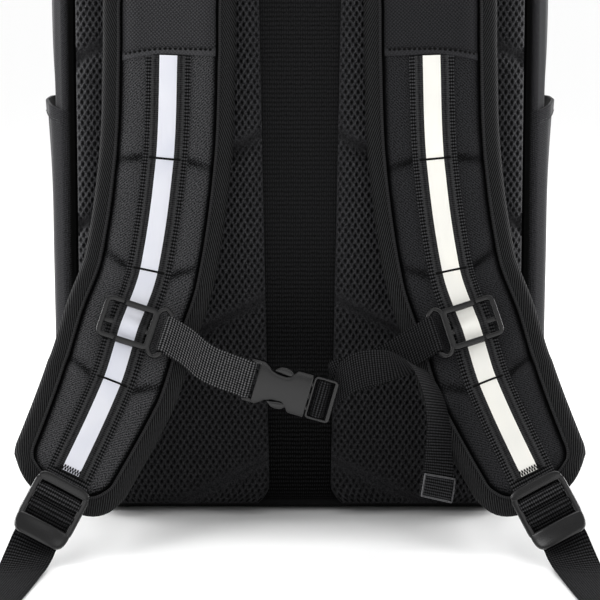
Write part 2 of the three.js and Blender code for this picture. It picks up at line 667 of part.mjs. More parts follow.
function adjusterWebbing() {
  const arrive = [{ a: 0.6, n: -11 }, { a: 1.4, n: -7 }, { a: 0.4, n: -3.7 }, { a: -0.9, n: -2.1 }];
  const leave = [{ a: 5.2, n: -2.7 }, { a: 9, n: -3.1 }, { a: 14, n: -3.1 }, { a: 18.5, n: -3.1 }];
  const fold = foldRound(LOCK_BARS.second);
  const stations = [
    ...groundStations(ADJUSTER_ANCHOR, 10),
    ...[...arrive, ...fold, ...leave].map(inLock),
    ...groundStations(ADJUSTER_TAIL, 10),
  ];
  return band(stations, STRAP_WEB.width, STRAP_WEB.thick);
}

// Chest slider

const sliderFrame = strapFrame(strapAlong.slider);
const sliderMiddle = SLIDER.low + SLIDER.thick / 2;
const sliderMatrix = new THREE.Matrix4()
  .makeBasis(sliderFrame.across.clone().negate(), sliderFrame.along, sliderFrame.out)
  .setPosition(strapPoint(strapAlong.slider, 0, sliderMiddle));

function chestSlider() {
  const { outer, inner, halfHigh, rail, thick } = SLIDER;
  const open = halfHigh - rail;
  const window = roundedRectangle(-outer + rail, inner - rail, -open, open, 0.8, 2).toReversed();
  const frame = plate(roundedRectangle(-outer, inner, -halfHigh, halfHigh, 2.5), thick, 0.5, [window]);
  const end = inner + D_LOOP.reach;
  const slot = roundedRectangle(inner + 0.6, end - D_LOOP.bar, -D_LOOP.slotHalf, D_LOOP.slotHalf, 1, 2);
  const loopEdge = roundedRectangle(inner - 2, end, -D_LOOP.halfHigh, D_LOOP.halfHigh, 4);
  const loop = plate(loopEdge, thick, 0.5, [slot.toReversed()]);
  const barTop = -thick / 2 - SLIDER_BAR.below;
  const barLow = barTop - SLIDER_BAR.thick;
  const barHigh = [-SLIDER_BAR.half, SLIDER_BAR.half];
  const bar = boxOf([-outer + 0.6, inner - 0.6], barHigh, [barLow, barTop]);
  const posts = [
    boxOf([-outer + 0.6, -outer + rail - 0.6], barHigh, [barLow, 0]),
    boxOf([inner - rail + 0.6, inner - 0.6], barHigh, [barLow, 0]),
  ];
  return toGeometry(unite([frame, loop, bar, ...posts])).applyMatrix4(sliderMatrix);
}

// Chest strap and its buckle

const buckleAlong = vec(...BUCKLE.axis).normalize();
const buckleOut = vec(0, -1, 0);
const buckleUp = buckleAlong.clone().cross(buckleOut).negate();
const buckleMatrix = new THREE.Matrix4()
  .makeBasis(buckleAlong, buckleUp, buckleAlong.clone().cross(buckleUp))
  .setPosition(BUCKLE.x, BUCKLE.y, BUCKLE.z);
const bucklePoint = (e, n) => vec(BUCKLE.x, BUCKLE.y, BUCKLE.z)
  .addScaledVector(buckleAlong, e)
  .addScaledVector(buckleOut, n);

// Both edges of an outline, from half widths at stations along the buckle
function waisted(rows) {
  const curve = new THREE.SplineCurve(rows.map(({ along, half }) => new THREE.Vector2(along, half)));
  const edge = curve.getPoints(2 * (rows.length - 1));
  return [...edge, ...edge.toReversed().map((p) => new THREE.Vector2(p.x, -p.y))].toReversed();
}

function buckleSocket() {
  const low = SOCKET_EDGE[0].along;
  const high = SOCKET_EDGE[SOCKET_EDGE.length - 1].along;
  const body = plate(waisted(SOCKET_EDGE), SOCKET.thick, 0.8);
  const inside = SOCKET.cavityThick / 2;
  const wide = SOCKET.cavityHalf;
  const cavity = boxOf([SOCKET.cavityLow, high + 1], [-wide, wide], [-inside, inside]);
  const shell = toSolid(body).subtract(toSolid(cavity));
  const { at, half, lug } = SOCKET_BAR;
  const bar = boxOf([at - half, at + half], [-BUCKLE.half, BUCKLE.half], [-half, half]);
  const lugs = [-1, 1].map((side) => {
    const ys = [side * (BUCKLE.half - lug), side * BUCKLE.half].sort((a, b) => a - b);
    return boxOf([at - half, low + 2], ys, [-2.4, 2.4]);
  });
  return toGeometry(shell.add(unite([bar, ...lugs]))).applyMatrix4(buckleMatrix);
}

function bucklePlug() {
  const { low, high, thick, windowLow, windowHigh, windowHalf } = PLUG;
  const window = roundedRectangle(windowLow, windowHigh, -windowHalf, windowHalf, 1, 2).toReversed();
  const frame = plate(roundedRectangle(low, high, -BUCKLE.half, BUCKLE.half, 2), thick, 0.3, [window]);
  const { at, half } = PLUG_BAR;
  const endBar = boxOf([at - half, at + half], [-windowHalf - 0.6, windowHalf + 0.6], [-half, half]);
  const prongThick = SOCKET.cavityThick - 0.8;
  const arms = [-1, 1].map((side) => {
    const points = PRONG.map(({ along, w }) => new THREE.Vector2(along, side * w));
    return plate(side < 0 ? points.toReversed() : points, prongThick, 0);
  });
  const tongue = boxOf([-9, low + 1], [-2.2, 2.2], [-prongThick / 2, prongThick / 2]);
  return toGeometry(unite([frame, endBar, ...arms, tongue])).applyMatrix4(buckleMatrix);
}

// A turn of webbing round a bar, from behind it to in front: away is the side that the fold lies on
function chestFold(bar, away, out, across) {
  return [-90, -55, -20, 20, 55, 90].map((degrees) => {
    const angle = THREE.MathUtils.degToRad(degrees);
    const at = bar.clone().addScaledVector(away, CHEST_WEB.foldRadius * Math.cos(angle));
    return { at: at.addScaledVector(out, CHEST_WEB.foldRadius * Math.sin(angle)), across };
  });
}

// The chest strap between a slider's bar and a buckle's bar: middle line, face direction and width direction
function chestRun(side, bar, endAcross = buckleUp) {
  const flip = (p) => vec(side * p.x, p.y, p.z);
  const loopAt = SLIDER.inner + D_LOOP.reach - D_LOOP.bar / 2;
  const start = flip(vec(loopAt, 0, 0).applyMatrix4(sliderMatrix));
  const away = flip(sliderFrame.across.clone());
  const up = flip(sliderFrame.along.clone().negate());
  const out = flip(sliderFrame.out.clone());
  const dip = start.clone().lerp(bar, 0.5).add(vec(0, -1.5, -3.5));
  const path = spline([start, start.clone().addScaledVector(away, -12).add(vec(0, 0, -3)), dip, bar]);
  const at = (s, n) => {
    const t = THREE.MathUtils.clamp(s / path.length, 0, 1);
    const face = out.clone().lerp(buckleOut, t).normalize();
    const across = up.clone().lerp(endAcross, t).normalize();
    return { at: path.at(Math.min(s, path.length - 1e-6)).addScaledVector(face, n), across };
  };
  return { at, start, away, up, out, length: path.length };
}

// The sewn loop round a slider's bar: the back layer, the turn and the way out to the front layer
function sewnStart(run) {
  const { legs, sewnBack, foldRadius: r } = CHEST_WEB;
  return [
    ...[sewnBack, 14, 9].map((s) => run.at(s, -legs)),
    run.at(4, -mix(legs, r, 0.7)),
    ...chestFold(run.start, run.away, run.out, run.up),
    run.at(4, mix(legs, r, 0.7)),
  ];
}

function chestWebbingLeft() {
  const { legs, sewnBack, foldRadius: r } = CHEST_WEB;
  const bar = bucklePoint(SOCKET_BAR.at, 0);
  const run = chestRun(-1, bar);
  const end = run.length;
  const fold = chestFold(bar, buckleAlong, buckleOut, buckleUp).toReversed();
  const middle = [9, 16, 24, 32, 40].filter((s) => s < end - 10).map((s) => run.at(s, legs));
  const stations = [
    ...sewnStart(run),
    ...middle,
    run.at(end - 9, legs),
    run.at(end - 4, mix(legs, r, 0.7)),
    ...fold,
    run.at(end - 4, -mix(legs, r, 0.7)),
    ...[9, 14, sewnBack].map((s) => run.at(end - s, -legs)),
  ];
  return band(stations, CHEST_WEB.width, CHEST_WEB.thick);
}

// The tail's stations: the middle and width of the band between its two edge curves
function tailStations(samples) {
  const upper = spline(CHEST_TAIL.map((row) => vec(row.ux, row.uy, row.uz)));
  const lower = spline(CHEST_TAIL.map((row) => vec(row.vx, row.vy, row.vz)));
  const rows = CHEST_TAIL.length - 1;
  const edgeAt = (curve, k) => {
    const row = Math.min(Math.floor(k), rows - 1);
    return curve.at(Math.min(mix(curve.knots[row], curve.knots[row + 1], k - row), curve.length - 1e-6));
  };
  return Array.from({ length: samples + 1 }, (_, n) => {
    const k = rows * n / samples;
    const [u, v] = [edgeAt(upper, k), edgeAt(lower, k)];
    const left = (rows - k) / rows * upper.length;
    const extra = left < TAIL_HEM.length ? TAIL_HEM.extra : 0;
    return { at: u.clone().add(v).multiplyScalar(0.5), across: u.sub(v), extra };
  });
}

// A station of a band from the two edges in a table's row
function edgeStation(row) {
  const u = vec(row.ux, row.uy, row.uz);
  const v = vec(row.vx, row.vy, row.vz);
  return { at: u.clone().add(v).multiplyScalar(0.5), across: u.sub(v).normalize() };
}

function chestWebbingRight() {
  const bar = bucklePoint(PLUG_BAR.at, 0);
  const entry = CHEST_ENTRY.map(edgeStation);
  const run = chestRun(1, entry[0].at, entry[0].across);
  const end = run.length;
  const places = (list) => list.map(([e, n]) => ({ at: bucklePoint(e, n), across: buckleUp }));
  const steps = [9, 15, 21, 27, 33, 39, 45].filter((s) => s < end - 5);
  const stations = [
    ...sewnStart(run),
    ...steps.map((s) => run.at(s, CHEST_WEB.legs * (1 - s / end))),
    ...entry,
    ...places([[PLUG_BAR.at + 2, -4]]),
    ...chestFold(bar, buckleAlong.clone().negate(), buckleOut, buckleUp),
    ...places([[PLUG_BAR.at + 2.4, 1.7], [PLUG_BAR.at + 3.4, -0.6]]),
    ...tailStations(28),
  ];
  return band(stations, CHEST_WEB.width, CHEST_WEB.thick);
}

// Yoke and carrying loop

function shoulderYoke() {
  const heights = [YOKE.low, (YOKE.low + YOKE.high) / 2, YOKE.high];
  const edge = YOKE.half;
  const columns = [-edge, -edge + YOKE.slope, -63, -22, -14, 14, 22, 63, edge - YOKE.slope, edge];
  const [anchor, crest] = STRAP;
  const faceAt = (z) => mix(anchor.y, crest.y, (anchor.z - z) / (anchor.z - crest.z)) - YOKE.over;
  const seat = BACK_Y - GAP - 0.5;
  const grid = (cloth) => heights.map((z) => columns.map((x) => {
    const low = Math.abs(x) < 15 || Math.abs(x) === edge;
    return vec(x, (low ? seat : faceAt(z)) - cloth, z);
  }));
  return sheet(grid(YOKE.cloth), grid(0));
}

function haulLoop() {
  const seat = bodyPoint(5, HAUL.y).z + GAP + 0.5 + HAUL.thick / 2;
  const side = [[HAUL.foot, 0], [48, 0.3], [41, 5], [31, 15], [17, 24.5], [0, HAUL.rise]];
  const row = ([x, rise]) => ({ at: vec(x, HAUL.y, seat + rise), across: vec(0, 1, HAUL.lean) });
  const right = side.map(row);
  const left = side.slice(0, -1).map(([x, rise]) => row([-x, rise])).toReversed();
  return band([...right, ...left], HAUL.width, HAUL.thick);
}

// Materials

const finishes = {
  cloth: { color: 0x2b2b2d, roughness: 0.8 },
  spacerMesh: { color: 0x1c1c1e, roughness: 0.85 },
  strapCloth: { color: 0x252527, roughness: 0.85 },
  binding: { color: 0x1d1d1f, roughness: 0.75 },
  webbing: { color: 0x1b1b1d, roughness: 0.7 },
  reflective: { color: 0xe6e6ea, roughness: 0.45 },
  plastic: { color: 0x151516, roughness: 0.35 },
  metal: { color: 0x3a3a3c, roughness: 0.35, metalness: 0.9 },
};

function piece(name, geometry, finish) {
  const mesh = new THREE.Mesh(geometry, new THREE.MeshStandardMaterial(finishes[finish]));
  mesh.name = name;
  return mesh;
}

// Assembly: single pieces first, then each pair with its left one mirrored

const backpack = new THREE.Group();
const mirrored = new THREE.Group();
mirrored.scale.x = -1;
backpack.add(mirrored);

const singles = [
  ["back_panel", backPanel(), "cloth"],
  ["base_panel", basePanel(), "cloth"],
  ["front_panel", frontPanel(), "cloth"],
  ["top_panel_back", topPanel(-1), "cloth"],
  ["top_panel_front", topPanel(1), "cloth"],
  ["zip_tape_back", zipTape(-1), "webbing"],
  ["zip_tape_front", zipTape(1), "webbing"],
  ["zip_slider", zipSlider(), "metal"],
  ["shoulder_yoke", shoulderYoke(), "cloth"],
  ["haul_loop", haulLoop(), "webbing"],
  ["chest_webbing_left", chestWebbingLeft(), "webbing"],
  ["chest_webbing_right", chestWebbingRight(), "webbing"],
  ["buckle_socket", buckleSocket(), "plastic"],
  ["buckle_plug", bucklePlug(), "plastic"],
];
const pairs = [
  ["side_panel", sidePanel(), "cloth"],
  ["side_pocket", sidePocket(), "cloth"],
  ["back_pad", backPad(), "spacerMesh"],
  ["strap_pad", strapPad(), "strapCloth"],
  ["strap_binding", strapBinding(), "binding"],
  ["strap_cap", strapCap(), "strapCloth"],
  ["strap_webbing", strapWebbing(), "webbing"],
  ["strap_ribbon", strapRibbon(), "webbing"],
  ["reflective_tape", reflectiveTape(), "reflective"],
  ["chest_slider", chestSlider(), "plastic"],
  ["ladder_lock", ladderLock(), "plastic"],
  ["adjuster_webbing", adjusterWebbing(), "webbing"],
];
for (const single of singles) backpack.add(piece(...single));
for (const [name, geometry, finish] of pairs) {
  backpack.add(piece(`${name}_right`, geometry, finish));
  mirrored.add(piece(`${name}_left`, geometry, finish));
}

export default backpack;
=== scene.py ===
# %% [markdown]
# # A backpack from its strap side
# The pack stands on a pale floor with its shoulder straps towards the camera. Each piece of cloth,
# webbing and plastic is worked out here as a surface in millimetres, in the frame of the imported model,
# and takes the place of that model's plainer solid.

import bpy
import numpy as np
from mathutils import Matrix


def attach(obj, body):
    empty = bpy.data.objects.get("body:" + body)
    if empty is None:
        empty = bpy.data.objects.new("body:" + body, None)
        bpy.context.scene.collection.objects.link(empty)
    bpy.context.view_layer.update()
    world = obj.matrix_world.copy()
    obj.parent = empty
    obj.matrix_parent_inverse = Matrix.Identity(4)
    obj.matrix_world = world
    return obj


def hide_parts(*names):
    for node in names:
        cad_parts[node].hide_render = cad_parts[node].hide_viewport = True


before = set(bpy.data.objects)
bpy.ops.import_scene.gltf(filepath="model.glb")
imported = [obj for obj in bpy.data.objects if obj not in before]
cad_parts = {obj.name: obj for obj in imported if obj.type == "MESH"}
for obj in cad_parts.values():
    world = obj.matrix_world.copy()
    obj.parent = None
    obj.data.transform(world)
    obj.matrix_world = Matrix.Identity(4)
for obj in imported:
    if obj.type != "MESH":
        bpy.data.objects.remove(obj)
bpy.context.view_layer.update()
MM = 0.001
print("nodes in the frame:", len(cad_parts))

# %% [markdown]
# ## Camera
# The photo is taken from 1.4 m with a long lens that looks down a little. A camera is an object with a
# lens and a place. It comes first.

# %% Camera
LOOK_DOWN = np.radians(7.8)
lens = bpy.data.cameras.new("camera")
lens.lens = 134
lens.sensor_width = 36
camera = bpy.data.objects.new("camera", lens)
camera.location = (0, -1.380, 0.305)
camera.rotation_euler = (np.pi / 2 - LOOK_DOWN, 0, 0)
bpy.context.scene.collection.objects.link(camera)
bpy.context.scene.camera = camera
print("camera at", tuple(camera.location))

# %% [markdown]
# ## From arrays to meshes
# A piece starts as arrays of points on a grid. These helpers join neighbours into quads, close the skin
# round its rim, and hand the arrays to Blender in one go, which is far quicker than adding points one by
# one.


# %% Grids
def unit(v):
    """v / |v|, along the last axis."""
    return v / np.linalg.norm(v, axis=-1, keepdims=True)


def bell(x, width):
    """exp(-(x / width)^2), a smooth bump that is 1 in its middle."""
    return np.exp(-((x / width) ** 2))


def quads_of(rows, cols, first=0, around=False):
    """Corner numbers of a grid's quads: (i, j), (i, j+1), (i+1, j+1), (i+1, j)."""
    i = np.arange(rows - 1)[:, None]
    j = np.arange(cols if around else cols - 1)[None, :]
    k = (j + 1) % cols
    corners = [i * cols + j, i * cols + k, (i + 1) * cols + k, (i + 1) * cols + j]
    return first + np.stack(corners, -1).reshape(-1, 4)


def rim_of(rows, cols):
    """Numbers of the points round a grid's edge, in order."""
    ids = np.arange(rows * cols).reshape(rows, cols)
    return np.concatenate([ids[0, :-1], ids[:-1, -1], ids[-1, :0:-1], ids[:0:-1, 0]])


def measured(grid):
    """Millimetres along and across a grid: running sums of the mean step lengths, for the UV map."""
    along = np.linalg.norm(np.diff(grid, axis=0), axis=2).mean(1)
    across = np.linalg.norm(np.diff(grid, axis=1), axis=2).mean(0)
    axes = [np.r_[0, np.cumsum(step)] for step in (along, across)]
    return np.stack(np.meshgrid(*axes, indexing="ij"), -1).reshape(-1, 2)


def shell(outer, inner):
    """A sheet with two faces: both grids, and quads that join their rims."""
    rows, cols = outer.shape[:2]
    count = rows * cols
    rim = rim_of(rows, cols)
    after = np.roll(rim, -1)
    sides = np.stack([rim, rim + count, after + count, after], -1)
    quads = np.concatenate([quads_of(rows, cols), quads_of(rows, cols, count)[:, ::-1], sides])
    uv = measured(outer)
    return {
        "points": np.concatenate([outer.reshape(-1, 3), inner.reshape(-1, 3)]),
        "quads": quads,
        "uv": np.concatenate([uv, uv]),
    }


def joined(parts):
    """Several shapes as one: their arrays one after another, with the numbers moved on."""
    starts = np.cumsum([0] + [len(part["points"]) for part in parts[:-1]])
    caps = [cap + start for part, start in zip(parts, starts) for cap in part.get("caps", [])]
    return {
        "points": np.concatenate([part["points"] for part in parts]),
        "quads": np.concatenate([part["quads"] + start for part, start in zip(parts, starts)]),
        "uv": np.concatenate([part["uv"] for part in parts]),
        "caps": caps,
    }


print("grid helpers ready")

# %% [markdown]
# One function makes an object of a shape: it turns the faces outwards, gives the mesh its points, faces,
# UV map and painted shading of light and shade, and says which solid the piece stands for. A second one
# adds the mirrored piece on the left side.


# %% Pieces
def outwards(shape):
    """The shape with its faces turned out: reversed where the volume, sum of a.(b x c) / 6, is negative."""
    a, b, c, d = (shape["points"][shape["quads"][:, k]] for k in range(4))
    volume = (a * np.cross(b, c)).sum() + (a * np.cross(c, d)).sum()
    if volume < 0:
        shape["quads"] = shape["quads"][:, ::-1]
        shape["caps"] = [cap[::-1] for cap in shape.get("caps", [])]
    return shape


def piece(name, shape, material, nodes=(), side=1):
    """One object from a shape. side -1 mirrors it to the left. nodes are the solids it stands for."""
    shape = outwards(dict(shape, points=shape["points"] * (side, 1, 1)))
    points, quads, caps = shape["points"], shape["quads"], shape.get("caps", [])
    corners = np.concatenate([quads.ravel(), *caps]).astype(np.int32)
    sizes = np.r_[np.full(len(quads), 4), [len(cap) for cap in caps]].astype(np.int32)
    mesh = bpy.data.meshes.new(f"fine_{name}")
    mesh.vertices.add(len(points))
    mesh.vertices.foreach_set("co", (points * MM).astype(np.float32).ravel())
    mesh.loops.add(len(corners))
    mesh.loops.foreach_set("vertex_index", corners)
    mesh.polygons.add(len(sizes))
    mesh.polygons.foreach_set("loop_start", np.r_[0, np.cumsum(sizes)[:-1]].astype(np.int32))
    mesh.polygons.foreach_set("use_smooth", np.ones(len(sizes), bool))
    mesh.uv_layers.new(name="UVMap")
    mesh.uv_layers[0].data.foreach_set("uv", shape["uv"][corners].astype(np.float32).ravel())
    if "painted_shading" in shape:
        painted_shading_values = mesh.attributes.new("painted_shading", "FLOAT", "POINT")
        painted_shading_values.data.foreach_set("value", shape["painted_shading"].astype(np.float32))
    mesh.update(calc_edges=True)
    mesh.set_sharp_from_angle(angle=np.radians(50))
    made = bpy.data.objects.new(f"fine_{name}", mesh)
    bpy.context.scene.collection.objects.link(made)
    made.data.materials.append(material)
    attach(made, "root")
    if nodes:
        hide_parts(*nodes)
    return made


def pair(name, shape, materials, node=None):
    """A right piece and its mirrored left one; materials is one material, or the right and the left one."""
    both = materials if isinstance(materials, tuple) else (materials, materials)
    made = []
    for side, word, material in ((1, "right", both[0]), (-1, "left", both[1])):
        nodes = [f"{node}_{word}"] if node else []
        made.append(piece(f"{name}_{word}", shape, material, nodes, side))
    return made


print("piece helpers ready")

# %% [markdown]
# ## Curves and swept sections
# Straps follow smooth curves through a few measured places. A moulded bar or a woven band is a small
# closed section that is carried along such a curve.


# %% Curves
def chord(rows):
    """Running straight length from row to row: the sum of |p[k+1] - p[k]|."""
    return np.r_[0, np.cumsum(np.linalg.norm(np.diff(rows[:, :3], axis=0), axis=1))]


def read_curve(rows, knots, s):
    """Cubic Hermite curve through rows; slope k is (row[k+1] - row[k-1]) / (knot[k+1] - knot[k-1])."""
    before = np.maximum(np.arange(len(rows)) - 1, 0)
    after = np.minimum(np.arange(len(rows)) + 1, len(rows) - 1)
    slope = (rows[after] - rows[before]) / (knots[after] - knots[before])[:, None]
    k = np.clip(np.searchsorted(knots, s, side="right") - 1, 0, len(rows) - 2)
    span = (knots[k + 1] - knots[k])[:, None]
    t = (s - knots[k])[:, None] / span
    start = (2 * t**3 - 3 * t**2 + 1) * rows[k] + (t**3 - 2 * t**2 + t) * span * slope[k]
    return start + (3 * t**2 - 2 * t**3) * rows[k + 1] + (t**3 - t**2) * span * slope[k + 1]


def rounded_path(corners, radius, steps=7):
    """A bent line with round corners: corner p becomes the parabola from p + radius u to p + radius v."""
    p = np.asarray(corners, float)
    u, v = unit(p[:-2] - p[1:-1]), unit(p[2:] - p[1:-1])
    k = np.linspace(0, 1, steps)[None, :, None]
    middle = p[1:-1, None]
    arcs = middle + radius * ((1 - k) ** 2 * u[:, None] + k**2 * v[:, None])
    return np.concatenate([p[:1], arcs.reshape(-1, p.shape[1]), p[-1:]])


def directions(path, across, closed=False):
    """The way along a path, from each point's neighbours, and the way out of its face, along x across."""
    if closed:
        along = np.roll(path, -1, 0) - np.roll(path, 1, 0)
    else:
        along = np.gradient(path, axis=0)
    along = unit(along)
    return along, unit(np.cross(along, across))


print("curves ready")

# %% [markdown]
# A moulded bar is one rounded section carried along a curve. A woven strap could be a flat strip with a
# drawn weave, but its ribs are points of the mesh here, so they catch the light and show at its edges.
# Stitches are short round bars in one mesh, because an object for each would be slow.


# %% Bars, bands and stitches
def sweep(path, across, half_wide, half_thick, power=4, sides=20, closed=False):
    """A rounded bar: the section |x/a|^p + |y/b|^p = 1 along a path with flat ends, or round a closed one."""
    path, across = np.asarray(path, float), unit(np.broadcast_to(across, np.shape(path)).astype(float))
    _, out = directions(path, across, closed)
    turn = np.linspace(0, 2 * np.pi, sides, endpoint=False)
    x = np.sign(np.cos(turn)) * np.abs(np.cos(turn)) ** (2 / power)
    y = np.sign(np.sin(turn)) * np.abs(np.sin(turn)) ** (2 / power)
    wide = np.broadcast_to(half_wide, len(path))[:, None, None] * x[None, :, None]
    thick = np.broadcast_to(half_thick, len(path))[:, None, None] * y[None, :, None]
    grid = path[:, None] + across[:, None] * wide + out[:, None] * thick
    rows = len(path)
    quads = quads_of(rows, sides, 0, True)
    caps = [np.arange(sides)[::-1], np.arange(sides) + (rows - 1) * sides]
    if closed:
        last, first = np.arange(sides) + (rows - 1) * sides, np.arange(sides)
        ring = np.stack([last, np.roll(last, -1), np.roll(first, -1), first], -1)
        quads, caps = np.concatenate([quads, ring]), []
    return {"points": grid.reshape(-1, 3), "quads": quads, "caps": caps, "uv": measured(grid)}


def band(rows, width, thick, pitch, depth, columns=9, extra=None):
    """A woven strap along rows of place and width direction. Both faces rise and fall in ribs, by
    depth * |sin(pi s / pitch)| with six rows of points each, and thin by |t|^8 to rounded edges.
    extra(s from the end) thickens it, as at a hem, and paints it a little lighter there, as painted light.
    The painted shading is 1 between two ribs, as painted shade."""
    rows = np.asarray(rows, float)
    knots = chord(rows)
    s = np.arange(0, knots[-1], pitch / 6)
    read = read_curve(rows, knots, s)
    path, across = read[:, :3], unit(read[:, 3:6])
    _, out = directions(path, across)
    t = np.linspace(-1, 1, columns)
    rib = np.abs(np.sin(np.pi * s / pitch))
    grown = np.zeros((len(s), 1)) if extra is None else extra(knots[-1] - s)[:, None] / 2
    half = thick / 2 * (1 - 0.7 * np.abs(t) ** 8)[None, :] + grown + depth * (rib - 0.7)[:, None]
    middle = path[:, None] + across[:, None] * (t * width / 2)[None, :, None]
    top = middle + out[:, None] * half[..., None]
    low = middle - out[:, None] * half[..., None]
    grid = np.concatenate([top, low[:, ::-1]], axis=1)
    loop, count = 2 * columns, len(s)
    j = np.arange(columns - 1)
    end = np.stack([j, j + 1, loop - 2 - j, loop - 1 - j], -1)
    quads = np.concatenate([quads_of(count, loop, 0, True), end[:, ::-1], end + (count - 1) * loop])
    spread = np.r_[t, t[::-1]] * width / 2
    uv = np.stack(np.meshgrid(s, spread, indexing="ij"), -1).reshape(-1, 2)
    painted_shading = 1 - rib - 0.2 * grown[:, 0]
    return {"points": grid.reshape(-1, 3), "quads": quads, "uv": uv, "painted_shading": np.repeat(painted_shading, loop)}


def placed(origin, first, second, third):
    """A function of three lengths in a part's own directions: origin + first * a + second * b + third * c."""

    def point(a, b=0.0, c=0.0):
        a, b, c = (np.asarray(value, float)[..., None] for value in np.broadcast_arrays(a, b, c))
        return origin + first * a + second * b + third * c

    return point


def stitches(path, out, length, spacing, radius):
    """A row of thread dashes: short round bars, length long, spacing apart, sunk by half into the cloth."""
    path, out = np.asarray(path, float), unit(np.broadcast_to(out, np.shape(path)).astype(float))
    rows = np.concatenate([path, out], axis=1)
    knots = chord(rows)
    starts = np.arange(spacing / 2, knots[-1] - length, spacing)
    shares = np.array([0, 0.2, 0.5, 0.8, 1])
    read = read_curve(rows, knots, (starts[:, None] + shares * length).ravel())
    middle, up = read[:, :3], unit(read[:, 3:6])
    reach = np.tile(radius * np.array([0.25, 0.9, 1, 0.9, 0.25]), len(starts))
    along = unit(np.gradient(middle, axis=0))
    wide = unit(np.cross(along, up))
    turn = np.linspace(0, 2 * np.pi, 6, endpoint=False)
    ring = wide[:, None] * np.cos(turn)[:, None] * 1.3 + up[:, None] * np.sin(turn)[:, None]
    grid = middle[:, None] + ring * reach[:, None, None]
    one = quads_of(len(shares), len(turn), 0, True)
    each = np.arange(len(starts))[:, None, None] * len(shares) * len(turn)
    first = np.arange(len(turn))[::-1]
    caps = [cap + k for k in each.ravel() for cap in (first, first[::-1] + (len(shares) - 1) * len(turn))]
    points = grid.reshape(-1, 3)
    return {"points": points, "quads": (each + one).reshape(-1, 4), "caps": caps, "uv": points[:, [0, 2]]}


print("sweeps ready")

# %% [markdown]
# ## Colours and nodes
# Colours are written as they look on a screen and turned to linear light for the shader. One helper adds
# a node with its settings and its links, so that a material reads as a short list.


# %% Material helpers
def colour(text):
    """sRGB hex to linear: c / 12.92 for c <= 0.04045, and ((c + 0.055) / 1.055)^2.4 above."""
    c = np.array([int(text[k : k + 2], 16) for k in (1, 3, 5)]) / 255
    linear = np.where(c <= 0.04045, c / 12.92, ((c + 0.055) / 1.055) ** 2.4)
    return (*linear, 1)


def add(tree, kind, inputs=None, to=None, stops=(), **settings):
    """Adds a node with its settings: each named input is set or linked, a ramp's stops are a place and a
    colour each, and the first output goes to a socket."""
    made = tree.nodes.new(kind)
    for key, value in settings.items():
        setattr(made, key, value)
    for k, (place, text) in enumerate(stops):
        made.color_ramp.elements[k].position = place
        made.color_ramp.elements[k].color = colour(text)
    for key, value in (inputs or {}).items():
        if isinstance(value, bpy.types.NodeSocket):
            tree.links.new(value, made.inputs[key])
        else:
            made.inputs[key].default_value = value
    if to is not None:
        tree.links.new(made.outputs[0], to)
    return made


def blank(name, **shader):
    """A new material: its node tree and its main shader, with the shader's own sockets set."""
    made = bpy.data.materials.new(name)
    made.use_nodes = True
    main = made.node_tree.nodes["Principled BSDF"]
    for key, value in shader.items():
        main.inputs[key.replace("_", " ").title().replace("Ior", "IOR")].default_value = value
    return made, made.node_tree, main


print("node helpers ready")

# %% [markdown]
# Most of the pack is woven. A picture of cloth would repeat and blur, so the shader works the weave out:
# two sets of bands cross each other, and noise drawn out along the threads stands for their fibres.


# %% Woven cloth
def period(millimetres):
    """Scale of a band pattern that repeats every so many millimetres: 2 pi / (20 * period)."""
    return 2 * np.pi / (20 * millimetres)


def woven(
    name, dark, light, warp, weft, bump, roughness=0.8, grain=(1.2, 1.2), share=0.5, slant=0.0, gloss=0.08,
    spread=(0.08, 0.65), sink=0.45, sheen=0.0,
):
    """Cloth of two crossing thread systems on the UV map, warp and weft millimetres apart and turned by
    slant; a 0 leaves one out. Its colour runs from dark to light between the two values of spread: share
    of it follows a grain of fibres so many millimetres long and wide, the rest the weave. The painted
    shading attribute darkens it by sink as painted shade, and lightens it as painted light where it is
    below 0. sheen brightens it where it is seen edge on."""
    made, tree, main = blank(
        name, roughness=roughness, specular_ior_level=gloss, sheen_weight=sheen, sheen_roughness=0.3
    )
    uv = add(tree, "ShaderNodeUVMap", uv_map="UVMap")
    turned = add(tree, "ShaderNodeMapping", {"Vector": uv.outputs[0], "Rotation": (0, 0, slant)})
    threads = []
    for size, way in ((warp, "X"), (weft, "Y")):
        if size:
            lines = {"Vector": turned.outputs[0], "Scale": period(size), "Distortion": 0.8, "Detail": 1}
            threads.append(add(tree, "ShaderNodeTexWave", lines, bands_direction=way).outputs["Fac"])
    weave = add(tree, "ShaderNodeMath", {0: threads[0], 1: threads[-1]}, operation="MULTIPLY")
    fine = (1 / grain[0], 1 / grain[1], 1)
    spun = add(tree, "ShaderNodeMapping", {"Vector": turned.outputs[0], "Scale": fine})
    fibres = add(tree, "ShaderNodeTexNoise", {"Vector": spun.outputs[0], "Scale": 1.0, "Detail": 2})
    part = add(tree, "ShaderNodeMath", {0: weave.outputs[0], 1: 1 - share}, operation="MULTIPLY")
    sum_of = {0: fibres.outputs["Fac"], 1: share, 2: part.outputs[0]}
    mixed = add(tree, "ShaderNodeMath", sum_of, operation="MULTIPLY_ADD")
    painted_shading_node = add(tree, "ShaderNodeAttribute", attribute_name="painted_shading")
    shaded_sum = {0: painted_shading_node.outputs["Fac"], 1: -sink, 2: mixed.outputs[0]}
    shade = add(tree, "ShaderNodeMath", shaded_sum, operation="MULTIPLY_ADD")
    dyes = [(spread[0], dark), (spread[1], light)]
    add(tree, "ShaderNodeValToRGB", {"Fac": shade.outputs[0]}, main.inputs["Base Color"], dyes)
    raised = {"Height": mixed.outputs[0], "Distance": bump * MM, "Strength": 0.7}
    add(tree, "ShaderNodeBump", raised, main.inputs["Normal"])
    return made


print("cloth helper ready")

# %% [markdown]
# ## Body
# The body is a soft box of sewn panels: a gusset that runs round the sides, top and base, closed by a
# front and a back panel. One function gives any point of the gusset, so neighbouring panels always meet.

